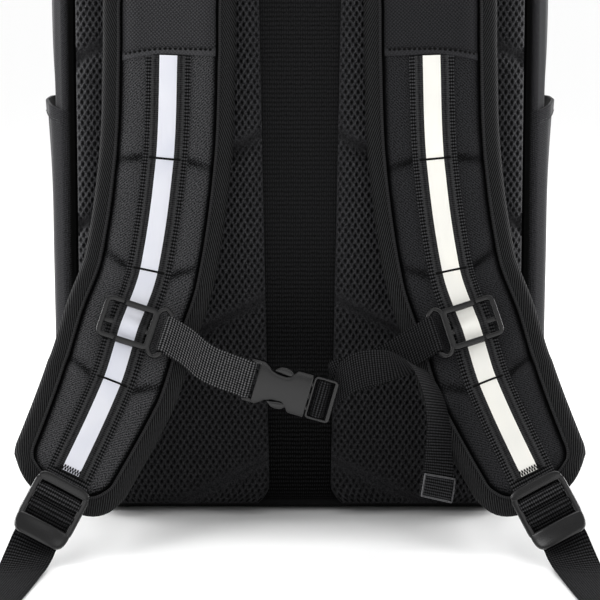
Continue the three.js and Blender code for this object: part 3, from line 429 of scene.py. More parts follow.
# %% Body cloth
# Smooth woven polyester: threads too fine to show, so they are drawn 1.1 mm apart.
body_cloth = woven(
    "woven_polyester", "#020202", "#363638", 1.1, 1.1, 0.1, share=0.6, gloss=0.0, sink=0.6, sheen=0.2
)

# The gusset's table: depth, how far it draws in, and how far it lifts at the base
GUSSET = np.array([
    (-80, 17, 5), (-74, 9.5, 1.5), (-62, 4, 0), (-35, 0.5, 0), (0, 0, 0),
    (40, 1.5, 0), (62, 6, 1), (74, 13, 4), (80, 22, 9),
])
HALF, HIGH, LOW_R, HIGH_R = 148, 460, 26, 70
WALL, GAP, BACK, FRONT = 2.2, 0.35, -80, 80


def body_point(w, y, shrink=0.0):
    """A point of the section at depth y: w runs 0-1 along the base, 1-2 round the low corner, 2-3 up the
    side, 3-4 round the high corner and 4-5 along the top; a negative w goes round the other side."""
    w, y, shrink = np.broadcast_arrays(np.asarray(w, float), y, shrink)
    draw = np.interp(y, GUSSET[:, 0], GUSSET[:, 1]) + shrink
    low = np.interp(y, GUSSET[:, 0], GUSSET[:, 2]) + shrink
    half, high = HALF - draw, HIGH - draw
    t = np.abs(w)
    one, three = (t - 1) * np.pi / 2, (t - 3) * np.pi / 2
    zones = [t <= 1, t < 2, t <= 3, t < 4]
    in_low, in_high = half - LOW_R, half - HIGH_R
    over_low, under_high = low + LOW_R, high - HIGH_R
    across = [t * in_low, in_low + LOW_R * np.sin(one), half, in_high + HIGH_R * np.cos(three)]
    x = np.select(zones, across, (5 - t) * in_high)
    side = over_low + (t - 2) * (under_high - over_low)
    upwards = [low, over_low - LOW_R * np.cos(one), side, under_high + HIGH_R * np.sin(three)]
    z = np.select(zones, upwards, high)
    return np.stack([np.sign(w) * x, y, z], -1)


def eased(low, high, count):
    """count values from low to high, closer together at both ends: a half turn of a cosine."""
    return low + (high - low) * (1 - np.cos(np.linspace(0, np.pi, count))) / 2


def slack(p, size):
    """Gentle waves of cloth that isn't tight: a few long sines of the place, size millimetres high."""
    x, y, z = np.moveaxis(p, -1, 0)
    level = np.sin(z / 31 + y / 47) * np.sin(y / 23 + 1)
    slanting = 0.6 * np.sin(z / 17 - x / 29 + 2) * np.sin(y / 37)
    return size * (level + slanting)


print("body outline ready")

# %% [markdown]
# The sides carry a slip pocket each. The wall behind the pocket is pushed in a little, and the pocket's
# rim stands away from it, so its mouth is open.

# %% Sides
SEAM = 0.0004
RIM_Z, POCKET_LOW, POCKET_Y = 243, 32, (-76, 70)


def side_way(z):
    """The way round the section at a height of its straight side: 2 + (z - start) / length."""
    return 2 + (z - LOW_R) / (HIGH - HIGH_R - LOW_R)


def pocket_dent(p):
    """4 mm * bell(z) * bell(y) inwards, behind the pocket's mouth."""
    return 4 * bell(p[..., 2] - RIM_Z + 14, 30) * bell(p[..., 1], 38)


def waist(p):
    """1.6 mm inwards where the pocket's hem draws the side in, 1.6 mm outwards above: bells of z and y."""
    return 1.6 * (bell(p[..., 2] - 195, 35) - bell(p[..., 2] - 300, 45)) * bell(p[..., 1], 40)


def seam_shade(shape):
    """Painted shade on a side piece: 1 in the seam at the back panel, and fading towards the widest place."""
    return np.interp(shape["points"][:, 1], [-80, -78.2, -76.4, -73, -62], [1, 1, 0.25, 0.05, 0])


def side_grid(shrink):
    """The gusset from the base seam to the top seam, dented and drawn in, with a little slack."""
    w = np.r_[np.linspace(1 + SEAM, 2, 14), np.linspace(2, 3, 74)[1:], np.linspace(3, 3.5 - SEAM, 12)[1:]]
    p = body_point(w[:, None], eased(BACK, FRONT, 56)[None, :], shrink)
    sag = pocket_dent(p) + waist(p) + np.maximum(slack(p, 0.5), 0) * (1 - bell(p[..., 2] - RIM_Z, 60))
    p[..., 0] -= sag
    return p


side_shape = shell(side_grid(0), side_grid(WALL))
side_shape["painted_shading"] = seam_shade(side_shape)
sides = pair("side_panel", side_shape, body_cloth, "side_panel")
print("side quads:", [len(made.data.polygons) for made in sides])

# %% [markdown]
# A pocket is the side's own surface moved outwards, so that it follows the side without touching it. Its
# seams lie flush, and its mouth stands open by a few millimetres.


# %% Pockets
def flush_at(y):
    """0 at the pocket's two seams, 1 from 8 mm inside them."""
    return np.minimum(1, np.minimum(y - POCKET_Y[0], POCKET_Y[1] - y) / 8)


def pocket_bulge(y, z):
    """How far the pocket stands out: 3.8 mm * sin(across)^0.7 * up^3."""
    across = np.sin(np.pi * (y - POCKET_Y[0]) / (POCKET_Y[1] - POCKET_Y[0])).clip(0) ** 0.7
    up = ((z - POCKET_LOW) / (RIM_Z - POCKET_LOW)).clip(0) ** 3
    return 3.8 * up * across


def pocket_grid(lift):
    """The side's own surface moved out by a gap and the bulge, with a thicker hem at its rim and flush
    edges at its two seams."""
    z = np.r_[np.linspace(POCKET_LOW, RIM_Z - 9, 70), RIM_Z - np.array([8.6, 8.2, 6, 3, 1, 0.3, 0])]
    y = eased(*POCKET_Y, 44)
    p = body_point(side_way(z)[:, None], y[None, :])
    hem = np.interp(RIM_Z - z, [0, 0.3, 1, 8.2, 8.6, 9], [0.4, 0.8, 0.9, 0.9, 0, 0])
    out = (0.4 + lift * (0.8 + hem[:, None])) * flush_at(y) + pocket_bulge(y[None, :], z[:, None])
    p[..., 0] += out - waist(p)
    return p


pocket_shape = shell(pocket_grid(1), pocket_grid(0))
# The pocket takes the same painted shade towards the back seam
pocket_shape["painted_shading"] = seam_shade(pocket_shape)
pockets = pair("side_pocket", pocket_shape, body_cloth, "side_pocket")
print("pocket quads:", [len(made.data.polygons) for made in pockets])

# %% [markdown]
# Base, front and back close the box. The front swells and is a little slack, and its seam puckers it. The
# back is drawn flat behind the pads.

# %% Base, front and back
base_ways = np.linspace(-1 + SEAM, 1 - SEAM, 60)


def base_grid(shrink):
    """The gusset between its two base seams."""
    return body_point(base_ways[:, None], eased(BACK, FRONT, 40)[None, :], shrink)


# Coated base cloth: black, against wet ground.
base_cloth = woven("coated_base", "#050505", "#151516", 1.1, 1.1, 0.1, share=0.6)
base = piece("base_panel", shell(base_grid(0), base_grid(WALL)), base_cloth, ["base_panel"])


def face_grid(depth, bulge, inwards, columns):
    """Rows of one height across the body's outline at a depth. The middle swells by
    bulge * (1-u^2) * (1-(2v-1)^4); a panel that swells is slack too, and its seam puckers it by 0.4 mm
    every 13 mm. A flat panel's seam is closed."""
    w = np.r_[np.linspace(1, 2, 14), np.linspace(2, 3, 86)[1:], np.linspace(3, 4, 28)[1:]]
    edge = body_point(w, depth, WALL + (GAP if bulge else 0.02))
    u = np.linspace(-1, 1, columns)
    v = (edge[:, 2] - edge[0, 2]) / (edge[-1, 2] - edge[0, 2])
    swell = bulge * (1 - u[None, :] ** 2) * (1 - (2 * v[:, None] - 1) ** 4)
    x = u[None, :] * edge[:, :1]
    z = np.broadcast_to(edge[:, 2:], x.shape)
    rim = np.minimum((1 - np.abs(u)) * edge[:, :1], np.minimum(z - z.min(), z.max() - z))
    waves = slack(np.stack([x, depth + 0 * x, z], -1), 1.5) * (rim / 40).clip(0, 1)
    puckers = 0.4 * bell(rim - 7, 6) * np.sin((np.abs(x) + z) / 2.1)
    swell = swell + (bulge > 0) * (waves + puckers)
    return np.stack([x, depth + np.sign(depth) * swell + inwards, z], -1)


FRONT_SWELL = 9
front_shape = shell(face_grid(FRONT, FRONT_SWELL, 0, 73), face_grid(FRONT, FRONT_SWELL, -WALL, 73))
front = piece("front_panel", front_shape, body_cloth, ["front_panel"])
# Dark oxford cloth with raised cross threads every 2.6 mm.
channel_cloth = woven(
    "oxford_polyester", "#010101", "#232324", 2.6, 1.3, 0.25, grain=(1.2, 0.7), share=0.6, gloss=0.03
)
back_shape = shell(face_grid(BACK, 0, 0, 40), face_grid(BACK, 0, WALL + 0.4, 40))
# Painted shade: the channel is painted darker low down, where the straps and the buckle hang in front of it
SHADED_BELOW = 170
back_shape["painted_shading"] = 0.55 * (1 - back_shape["points"][:, 2] / SHADED_BELOW).clip(0)
back = piece("back_panel", back_shape, channel_cloth, ["back_panel"])

print("base, front and back quads:", [len(made.data.polygons) for made in (base, front, back)])

# %% [markdown]
# The top is split by a zip that runs over it from side to side. It stands open as a lens, so the inside
# can be seen from above. Each edge has a panel with a strip of zip tape under it.

# %% Top and zip tapes
MOUTH_Y, MOUTH_HALF, MOUTH_REACH = 4, 22, 1.4
mouth_ways = np.linspace(-1.5 + SEAM, 1.5 - SEAM, 110)
top_way = np.where(mouth_ways < 0, -5 - mouth_ways, 5 - mouth_ways)
mouth_half = MOUTH_HALF * (1 - (mouth_ways / MOUTH_REACH) ** 2).clip(0) + 0.25


def strip(side, near, far, shrink, count):
    """A strip of the top between two distances from the zip's middle, near and far, all along it."""
    share = eased(0, 1, count)[None, :]
    y = MOUTH_Y + side * (near[:, None] + (far - near)[:, None] * share)
    return body_point(top_way[:, None], y, shrink)


tops, tapes = [], []
# Zip tape: close woven polyester, almost black.
zip_cloth = woven("zip_tape", "#0a0a0b", "#222223", 0.9, 0.9, 0.1)
for side, word, rim in ((-1, "back", MOUTH_Y - BACK), (1, "front", FRONT - MOUTH_Y)):
    lip = mouth_half + 5
    far = np.full_like(lip, rim)
    shape = shell(strip(side, lip, far, 0, 30), strip(side, lip, far, WALL, 30))
    tops.append(piece(f"top_panel_{word}", shape, body_cloth, [f"top_panel_{word}"]))
    low = WALL + GAP
    shape = shell(strip(side, mouth_half, lip + 4, low, 6), strip(side, mouth_half, lip + 4, low + 0.9, 6))
    tapes.append(piece(f"zip_tape_{word}", shape, zip_cloth, [f"zip_tape_{word}"]))
print("body pieces:", len(sides + pockets + tops + tapes) + 3)

# %% [markdown]
# The zip's coil is a row of small teeth along each tape's edge, of the tape's own dull yarn, and its
# slider is a painted casting with a flat pull. Both are small, so plain sweeps will do.

# %% Zip teeth and slider
for side, word in ((-1, "back"), (1, "front")):
    edge = body_point(top_way, MOUTH_Y + side * (mouth_half + 1.2), WALL + GAP - 0.4)
    piece(f"zip_teeth_{word}", stitches(edge, (0, 0, 1), 1.0, 1.6, 0.75), zip_cloth)

turn = 0.6 * np.pi / 2
seat = body_point(3.6, MOUTH_Y, WALL)
slider_out = np.array([np.cos(turn), 0, np.sin(turn)])
slider_down = np.array([np.sin(turn), 0, -np.cos(turn)])
on_zip = placed(seat, slider_down, slider_out, np.array([0, 1, 0]))
body_rows = on_zip(np.r_[-5, -4.6, 0, 4.6, 5], 2.3)
pull_rows = on_zip(np.r_[3, 3.6, 9, 18, 25.2, 26], 3.6)
zip_slider = joined([
    sweep(body_rows, (0, 1, 0), np.array([3.2, 3.8, 3.4, 3.8, 3.2]), np.array([1.6, 2.2, 2.2, 2.2, 1.6])),
    sweep(pull_rows, (0, 1, 0), np.array([1.2, 1.8, 2.2, 2.8, 2.8, 2.0]), 0.8),
])
# Painted zinc casting: dark and glossy, with a metal's reflections under the paint and fine rubbed marks.
casting, tree, main = blank("painted_zinc", base_color=colour("#3a3a3d"), metallic=0.9)
place = add(tree, "ShaderNodeTexCoord").outputs["Object"]
rub = add(tree, "ShaderNodeTexNoise", {"Vector": place, "Scale": 700, "Detail": 3})
worn = {"Value": rub.outputs["Fac"], 3: 0.22, 4: 0.42}
add(tree, "ShaderNodeMapRange", worn, main.inputs["Roughness"])
piece("zip_slider", zip_slider, casting, ["zip_slider"])
print("zip done")

# %% [markdown]
# ## Back pads
# Two foam pads under spacer mesh, a thick knit with rows of open holes that let air through. The holes
# are real dents in the surface: the grid has six columns and eight rows of points for each repeat of the
# knit, so every hole gets the same points and looks the same.

# %% Spacer mesh
# Spacer mesh: matt knitted polyester. The painted shading attribute turns the yarn black, as painted shade:
# it is 1 in the holes, which are real dents, and high along the sewn seams and low down on the pad.
mesh_knit, tree, main = blank("spacer_mesh", roughness=0.9, specular_ior_level=0.1)
depth = add(tree, "ShaderNodeAttribute", attribute_name="painted_shading")
place = add(tree, "ShaderNodeTexCoord").outputs["Object"]
fibre = add(tree, "ShaderNodeTexNoise", {"Vector": place, "Scale": 1100, "Detail": 3}).outputs["Fac"]
yarn = add(tree, "ShaderNodeValToRGB", {"Fac": fibre}, stops=[(0.3, "#18181a"), (0.75, "#444446")])
painted_shade_mix = {0: depth.outputs["Fac"], 6: yarn.outputs[0], 7: colour("#030303")}
yarn_in_painted_shade = add(tree, "ShaderNodeMix", painted_shade_mix, data_type="RGBA")
tree.links.new(yarn_in_painted_shade.outputs[2], main.inputs["Base Color"])
fuzz = {"Height": fibre, "Distance": 0.2 * MM, "Strength": 0.6}
add(tree, "ShaderNodeBump", fuzz, main.inputs["Normal"])

print("knit ready")

# %% [markdown]
# A pad is one grid of points: its outline first, then the swell of the foam, the sewn grooves and the
# holes. Each is a simple curve on the same grid, so they always agree.

# %% Pads
PAD_LOW, PAD_HIGH, PAD_OUTER, PAD_THICK, PAD_EDGE = 5.5, 374, 130, 10.5, 2.5
PAD_ROUND = 14  # how far the pad's rounded edge reaches inwards
CHANNEL = (18, 25)
KNIT = (3.8, 5.9)  # repeat of the knit across and up, in millimetres
KNIT_STEPS = (6, 8)


def back_half(z):
    """Half width of the back panel at a height: straight, then round the top corner."""
    half = HALF - GUSSET[0, 1] - WALL - GAP - 0.1
    over = (z - (HIGH - GUSSET[0, 1] - WALL - GAP - 0.1 - HIGH_R)).clip(0)
    return half - HIGH_R + np.sqrt(HIGH_R**2 - over**2)


cols = round((PAD_OUTER - CHANNEL[0]) / KNIT[0]) * KNIT_STEPS[0] + 1
rows = round((PAD_HIGH - PAD_LOW) / KNIT[1]) * KNIT_STEPS[1] + 1
i, j = np.mgrid[0:rows, 0:cols]
u, v = j / (cols - 1), i / (rows - 1)
z = PAD_LOW + (PAD_HIGH - PAD_LOW) * v
corner = 7 * (1 - (z - PAD_LOW) / 12).clip(0) ** 2
inner = CHANNEL[0] + (CHANNEL[1] - CHANNEL[0]) * v + corner
outer = np.minimum(PAD_OUTER, back_half(z) + 1.0) - corner
x = inner + (outer - inner) * u
from_edge = np.minimum(np.minimum(x - inner, outer - x), np.minimum(z - PAD_LOW, PAD_HIGH - z) * 1.2)
rise = (from_edge / PAD_ROUND).clip(0, 1)
swell = (PAD_THICK - PAD_EDGE) * np.sqrt(rise * (2 - rise))

# The sewn grooves fall from the channel to the sides
GROOVES_APART, FIRST_GROOVE = 97, 33
fall = z + 0.5 * (x - CHANNEL[0]) - FIRST_GROOVE
off = fall - np.round(fall / GROOVES_APART) * GROOVES_APART
seam = bell(off, 3.4)
swell = swell - np.minimum(swell, 5.6 * bell(off, 6))


def hole_at(shift_i, shift_j):
    """How far a point is from a hole's middle, as a share of the hole: sqrt((dx/0.8)^2 + (dz/1.55)^2)."""
    half_j, half_i = KNIT_STEPS[0] // 2, KNIT_STEPS[1] // 2
    dx = ((j + shift_j + half_j) % KNIT_STEPS[0] - half_j) * KNIT[0] / KNIT_STEPS[0]
    dz = ((i + shift_i + half_i) % KNIT_STEPS[1] - half_i) * KNIT[1] / KNIT_STEPS[1]
    return np.hypot(dx / 0.8, dz / 1.55)


share = np.minimum(hole_at(0, 0), hole_at(KNIT_STEPS[1] // 2, KNIT_STEPS[0] // 2))
open_hole = ((1.22 - share) / 0.5).clip(0, 1) * (from_edge > 0.5) * (1 - seam)
knit_rise = 0.35 * (share - 1.2).clip(-0.5, 0.5)
y = BACK - GAP - PAD_EDGE - swell - knit_rise * (from_edge > 0.5) + 1.1 * open_hole
# Painted shade: black in the holes, darker along the sewn seams, and darker low down where the straps hang in
# front
pad_painted_shade = np.maximum(np.maximum(open_hole, 0.6 * seam), 0.5 * (1 - z / SHADED_BELOW))
pad_grid = np.stack([x, y, z], -1)
rim = rim_of(rows, cols)
pad_back = pad_grid.reshape(-1, 3)[rim].copy()
pad_back[:, 1] = BACK - GAP
count = rows * cols
ring = np.arange(len(rim))
skirt = np.stack([rim, ring + count, np.roll(ring, -1) + count, np.roll(rim, -1)], -1)
pad_points = np.concatenate([pad_grid.reshape(-1, 3), pad_back])
pad_shape = {
    "points": pad_points,
    "quads": np.concatenate([quads_of(rows, cols), skirt]),
    "caps": [ring[::-1] + count],
    "uv": pad_points[:, [0, 2]],
    # The pad's sides and back are painted black, as painted shade
    "painted_shading": np.r_[pad_painted_shade.ravel(), np.ones(len(rim))],
}
pads = pair("back_pad", pad_shape, mesh_knit, "back_pad")
print("pad quads:", len(pad_shape["quads"]))

# %% [markdown]
# ## Shoulder straps
# A strap is a foam pad in charcoal twill with a bound edge. Its line is a smooth curve through places
# read on the photo. Everything on it is written in the strap's own directions: s down along it, t across
# it towards the outer edge, and h out of its face.

# %% The strap's line
# Place of the middle of the face, half width and thickness, from the anchor to the rounded end
STRAP = np.array([
    (63, -87, 408, 36, 5), (66, -99, 386, 37, 9), (71, -105, 345, 38, 12), (74, -105, 302, 38, 12),
    (74.5, -105, 271, 38, 12), (77, -108, 212, 38, 12), (86, -118, 149, 38, 12), (96.7, -132, 118, 38.2, 12),
    (105.3, -147, 90, 38, 12), (126.3, -183, 44.5, 33.2, 12), (133, -192.8, 33.1, 32.4, 8),
])
STRAP_KNOTS = chord(STRAP)
S_CREST, S_HEM, S_SLIDER, S_TAPE_END, S_END = STRAP_KNOTS[[1, 4, 7, 9, 10]]
TACKS = STRAP_KNOTS[[5, 6, 8]]
TACK_CLIMB = np.array([-0.2, 0.5, 0.5])
END_R = 26


def strap_frame(s):
    """Place, and unit directions along, across and out; out is -Y made square to the strap, and
    across = out x along."""
    s = np.asarray(s, float).clip(0, S_END)
    at = read_curve(STRAP[:, :3], STRAP_KNOTS, s)
    ahead = read_curve(STRAP[:, :3], STRAP_KNOTS, (s + 0.5).clip(0, S_END))
    behind = read_curve(STRAP[:, :3], STRAP_KNOTS, (s - 0.5).clip(0, S_END))
    along = unit(ahead - behind)
    out = unit(np.array([0, -1.0, 0]) + along * along[:, 1:2])
    return at, along, np.cross(out, along), out


def strap_point(s, t, h):
    """at(s) + across * t + out * h, for arrays of one shape."""
    s, t, h = np.broadcast_arrays(s, t, h)
    at, _, across, out = strap_frame(s.ravel())
    flat = at + across * t.reshape(-1, 1) + out * h.reshape(-1, 1)
    return flat.reshape(*s.shape, 3)


print("strap length in mm:", round(float(S_END), 1))

# %% [markdown]
# Bar tacks sew the webbing through the foam. Each one pulls the pad in along a crease, and the foam puffs
# up on both sides of it. A simulation could do this too, but bell curves put each crease where the photo
# has it.


# %% Creases and outline
def dip(s):
    """How far a tack pulls the webbing into the foam: 1.6 mm * bell, 7 mm wide."""
    return 1.6 * bell(np.asarray(s)[..., None] - TACKS, 7).sum(-1)


def from_tack(s, t):
    """Distance from each tack's crease, which climbs towards the edges by TACK_CLIMB."""
    return s[..., None] - TACKS + TACK_CLIMB * (np.abs(t) - 13).clip(0)[..., None]


def crease(s, t):
    """The pad's own fold at each tack: it fades towards the edge, and has a puff on both sides."""
    reach = np.abs(t)
    beside = ((reach - 12) / 4).clip(0, 1)
    far = ((reach - 14) / 12).clip(0, 1)
    d = from_tack(s, t)
    fold = (bell(d, 7) * (1 - beside[..., None]) + bell(d, 3.4) * beside[..., None]).sum(-1)
    puff = (bell(d + 10, 7) + bell(d - 9, 7)).sum(-1)
    return (1.6 + 2.0 * beside) * (1 - 0.55 * far) * fold - 1.1 * beside * puff


def crease_shade(s, t):
    """Painted shade on the pad: 0.45 in a crease beside the webbing, half of that at the edge."""
    reach = np.abs(t)
    line = bell(from_tack(s, t), 1.9).sum(-1)
    return 0.45 * line * ((reach - 10) / 5).clip(0, 1) * (1 - 0.5 * ((reach - 15) / 10).clip(0, 1))


def fullness(s):
    """The strap's thickness at s, as a share of its full 12 mm."""
    return np.interp(s, STRAP_KNOTS, STRAP[:, 4]) / 12


def strap_outline(inset, step):
    """Down the outer edge, round the end's two quarter circles and up the inner edge, drawn in by inset:
    arrays of s and t."""
    start = S_END - END_R
    s = np.linspace(0, start, int(start / step))
    half = np.interp(s, STRAP_KNOTS, STRAP[:, 3]) - inset
    turn = np.radians(eased(0, 90, 22)[1:-1])
    radius = END_R - inset
    s = np.r_[s, start + radius * np.sin(turn), S_END - inset]
    t = np.r_[half, half[-1] - radius + radius * np.cos(turn), half[-1] - radius]
    return np.r_[s, s[::-1]], np.r_[t, -t[::-1]]


def strap_skin(insets, heights, step, dent):
    """Grid of points round the strap: one row per place on the outline, one column per inset and height."""
    s, t = (np.stack(values, 1) for values in zip(*(strap_outline(inset, step) for inset in insets)))
    h = np.asarray(heights)[None, :] * fullness(s) - (crease(s, t) if dent else 0)
    return strap_point(s, t, h), np.stack([s, t], -1).reshape(-1, 2)


print("tacks at mm:", np.round(TACKS, 1))

# %% [markdown]
# The pad's twill is a charcoal melange: light and dark fibres spun together, so it sparkles finely. The
# edge is bound with a folded twill tape, with a thin raised fold beside the seam.

# %% Strap pads
# Charcoal melange twill: light and dark fibres in slanting ribs, drawn 1.3 mm apart so that they show. One
# cloth in two copies of painted light: the right strap's is painted darker, as painted shade, and the left
# one's lighter, as it faces the brighter side.
strap_twills = tuple(
    woven(
        name, "#060607", light, 1.3, 0, 0.1, roughness=0.9, grain=(0.5, 0.8), share=0.88, slant=0.75,
        spread=(0.35, 0.72),
    )
    for name, light in (("melange_twill_painted_shade", "#39393b"), ("melange_twill_painted_light", "#58585a"))
)
# Twill binding tape: steep fine ribs, drawn 1.2 mm apart, a little smoother than the pad.
binding_twill = woven(
    "twill_binding", "#020202", "#333334", 0, 1.2, 0.15, grain=(1.6, 0.6), slant=0.45, spread=(0.25, 0.8)
)
# The same tape at its fold, where it is stretched smooth, and painted lighter as a painted highlight along
# the fold.
lit_fold_twill = woven(
    "twill_fold_painted_highlight", "#101011", "#3a3a3b", 1.2, 0, 0.1, grain=(0.8, 0.5), share=0.7, spread=(0.2, 0.85)
)

pad_insets = np.array([9.6, 10.4, 11.2, 12.2, 13.6, 15.2, 17.5, 20, 22.5, 25])
pad_face = np.array([-6, -4.8, -3.8, -2.7, -1.5, -0.5, 0.5, 0.9, 0.6, 0])
# Painted shade in the seam beside the binding: 1 at the seam, fading inwards
pad_seam = np.array([1, 1, 0.6, 0.2, 0, 0, 0, 0, 0, 0])
pad_under = np.array([-6.4, -7.9, -9.2, -10.3, -11, -11.5, -11.9, -12, -12, -12])


def pad_height(t):
    """Height of the pad's face at t, where the strap has its full half width of 38 mm."""
    return np.interp(38 - np.abs(t), pad_insets, pad_face)


def strap_pad_shape():
    """The pad's face and back round the outline, joined at the seam and bridged across under the webbing."""
    face, uv = strap_skin(pad_insets, pad_face, 2, True)
    under, _ = strap_skin(pad_insets, pad_under, 2, False)
    rows, cols = face.shape[:2]
    count = rows * cols
    ids = np.arange(count).reshape(rows, cols)
    outer, middle = ids[:, 0], ids[:, -1]
    half = rows // 2
    near, far = middle[:half], middle[::-1][:half]
    bridge = np.stack([near[:-1], far[:-1], far[1:], near[1:]], -1)
    seam = np.stack([outer[1:], outer[:-1], outer[:-1] + count, outer[1:] + count], -1)
    first = np.r_[ids[0], ids[-1, ::-1]]
    top = np.stack([first[:-1], first[1:], first[1:] + count, first[:-1] + count], -1)
    skins = [quads_of(rows, cols), quads_of(rows, cols, count)[:, ::-1], bridge, bridge[:, ::-1] + count]
    points = np.concatenate([face.reshape(-1, 3), under.reshape(-1, 3)])
    # Painted shade in the seam and in each crease
    painted_shading = np.maximum(np.tile(pad_seam, rows), crease_shade(uv[:, 0], uv[:, 1]))
    return {
        "points": points,
        "quads": np.concatenate([*skins, seam, top]),
        "uv": np.concatenate([uv, uv]),
        "painted_shading": np.r_[painted_shading, 0 * painted_shading],
    }


strap_pads = pair("strap_pad", strap_pad_shape(), strap_twills, "strap_pad")

print("strap pad quads:", len(strap_pads[0].data.polygons))

# %% [markdown]
# The binding wraps the pad's edge from face to back. Its folded edge stands up beside the seam as a
# narrow lip that catches a line of light, so the lip is a bar of its own.

# %% Bindings
bind_insets = np.array([0, 0.5, 1.4, 3, 5.5, 7.6, 8.6, 9.4, 10, 10.2])
bind_face = np.array([-5.7, -4.2, -3, -2.1, -1.7, -1.8, -1.9, -2.1, -2.8, -4])
bind_grids = [strap_skin(bind_insets, h, 2, False) for h in (bind_face, -12 - bind_face)]
bind_shape = shell(bind_grids[0][0], bind_grids[1][0])
bind_shape["uv"] = np.concatenate([bind_grids[0][1], bind_grids[1][1]])
bindings = pair("strap_binding", bind_shape, binding_twill, "strap_binding")

lip_s, lip_t = strap_outline(9.2, 1.5)
lip_path = strap_point(lip_s, lip_t, -1.9 * fullness(lip_s))
lip_shape = sweep(lip_path, strap_frame(lip_s)[3], 1.0, 0.8, 2.4, 12)
pair("binding_fold", lip_shape, lit_fold_twill)
print("binding quads:", len(bindings[0].data.polygons))

# %% [markdown]
# Down the middle of the strap lie the webbing, a grosgrain ribbon on it, and the reflective tape on top.
# The webbing goes on through the lock, so it is made with the lock, and the other two layers come here.

# %% Ribbon and tape
# Grosgrain ribbon: fine cross ribs, drawn 1.2 mm apart.
grosgrain = woven(
    "grosgrain", "#0a0a0b", "#363637", 1.2, 0, 0.12, roughness=0.75, grain=(2.4, 0.8), share=0.7,
    spread=(0.15, 0.75),
)

HUMP_HALF, HUMP_HIGH = 8, 2.8


def hump(s):
    """The ribbon's rise over the slider's bar: 2.8 mm * cos^2, 8 mm each way."""
    d = ((np.asarray(s) - S_SLIDER) / HUMP_HALF).clip(-1, 1)
    return HUMP_HIGH * np.cos(np.pi / 2 * d) ** 2


def strap_sheet(s, t, top, low, painted_shading):
    """A sheet on the strap between two heights. s and t are its UV map, and each point has a painted shading,
    of painted light or shade.
    """
    flat = np.stack(np.broadcast_arrays(s, t), -1)
    painted_shading_values = np.broadcast_to(painted_shading, flat.shape[:2]).ravel()
    uv = flat.reshape(-1, 2)
    shape = shell(strap_point(s, t, top), strap_point(s, t, low))
    return dict(shape, uv=np.concatenate([uv, uv]), painted_shading=np.r_[painted_shading_values, painted_shading_values])


def layer(start, end, t, low, top, step=1.0, rib=0.0, painted_shading=0.0):
    """A flat strip on the strap's face from start to end, between two heights, over the slider's hump, with
    rounded edges and cross ribs 1.2 mm apart. Its painted shading, at each t, sinks and darkens a sewn line
    as painted shade, or lightens a fold as a painted highlight."""
    s = np.linspace(start, end, int((end - start) / step))[:, None]
    t = np.asarray(t, float)[None, :]
    base = hump(s) - dip(s)
    edge = (top - low) * 0.6 * (t / t.max()) ** 10
    ribs = rib * np.abs(np.sin(np.pi * s / 1.2))
    upper = base + top - edge + ribs - 0.3 * np.maximum(painted_shading, 0)
    return strap_sheet(s, t, upper, base + low, painted_shading)


half_t = np.array([1.5, 4.9, 6.4, 6.9, 7.3, 7.7, 8.1, 8.6, 9.0, 9.3, 9.5])
ribbon_t = np.r_[-half_t[::-1], half_t]
# Painted shade on the sewn line beside the tape, and a painted highlight on the fold at the ribbon's edge
ribbon_painted_shading = 0.5 * bell(np.abs(ribbon_t) - 7.3, 0.5) - 0.5 * bell(np.abs(ribbon_t) - 8.9, 0.5)
ribbon_shape = layer(S_HEM + 0.4, S_TAPE_END, ribbon_t, 1.7, 2.5, step=0.6, rib=0.12, painted_shading=ribbon_painted_shading)
ribbons = pair("strap_ribbon", ribbon_shape, grosgrain, "strap_ribbon")

# Reflective tape: glass beads in a light grey film, in two copies of painted light. The right one is painted
# brighter and warmer, as lit by the lamp, the left one duller and cooler, as in the cool side's shade.
films = []
for name, bright, dull in (("tape_painted_lamp_light", "#f3f1e9", "#e9e8e2"), ("tape_painted_cool_shade", "#dadbe2", "#cfd1db")):
    film, tree, main = blank(name, roughness=0.42, specular_ior_level=0.3)
    place = add(tree, "ShaderNodeTexCoord").outputs["Object"]
    patch = add(tree, "ShaderNodeTexNoise", {"Vector": place, "Scale": 30, "Detail": 1})
    greys = [(0.35, dull), (0.65, bright)]
    add(tree, "ShaderNodeValToRGB", {"Fac": patch.outputs["Fac"]}, main.inputs["Base Color"], greys)
    beads = add(tree, "ShaderNodeTexNoise", {"Vector": place, "Scale": 2500})
    beaded = {"Height": beads.outputs["Fac"], "Distance": 0.03 * MM, "Strength": 0.4}
    add(tree, "ShaderNodeBump", beaded, main.inputs["Normal"])
    films.append(film)
tape_shape = layer(S_HEM + 0.4, S_TAPE_END - 0.2, np.r_[-5, -4.8, -2.4, 0, 2.4, 4.8, 5], 2.5, 3.0)
reflective = pair("reflective_tape", tape_shape, tuple(films), "reflective_tape")

print("ribbons and tapes:", len(ribbons + reflective))

# %% [markdown]
# The upper strap is covered by a plain cap. Its hem is the cloth folded under and sewn down, so the cap
# is thicker there.

# %% Caps
# Overlay cloth: the pad's charcoal in a closer, slanting basket weave, painted darker on the right as painted
# shade, as the pad is.
overlays = tuple(
    woven(
        name, "#0a0a0b", light, 1.5, 1.5, 0.1, roughness=0.9, grain=(0.6, 0.6), share=0.7, slant=0.75,
        spread=(0.22, 0.62),
    )
    for name, light in (("basket_overlay_painted_shade", "#303032"), ("basket_overlay_painted_light", "#414143"))
)


CAP_HALF, CAP_LONG = 26.4, S_HEM - S_CREST - 2


def hem_drop(t):
    """How much lower the cap's hem hangs: 4 mm * (t / 26)^1.7 on its outer half."""
    return 4 * (np.maximum(t, 0) / 26) ** 1.7


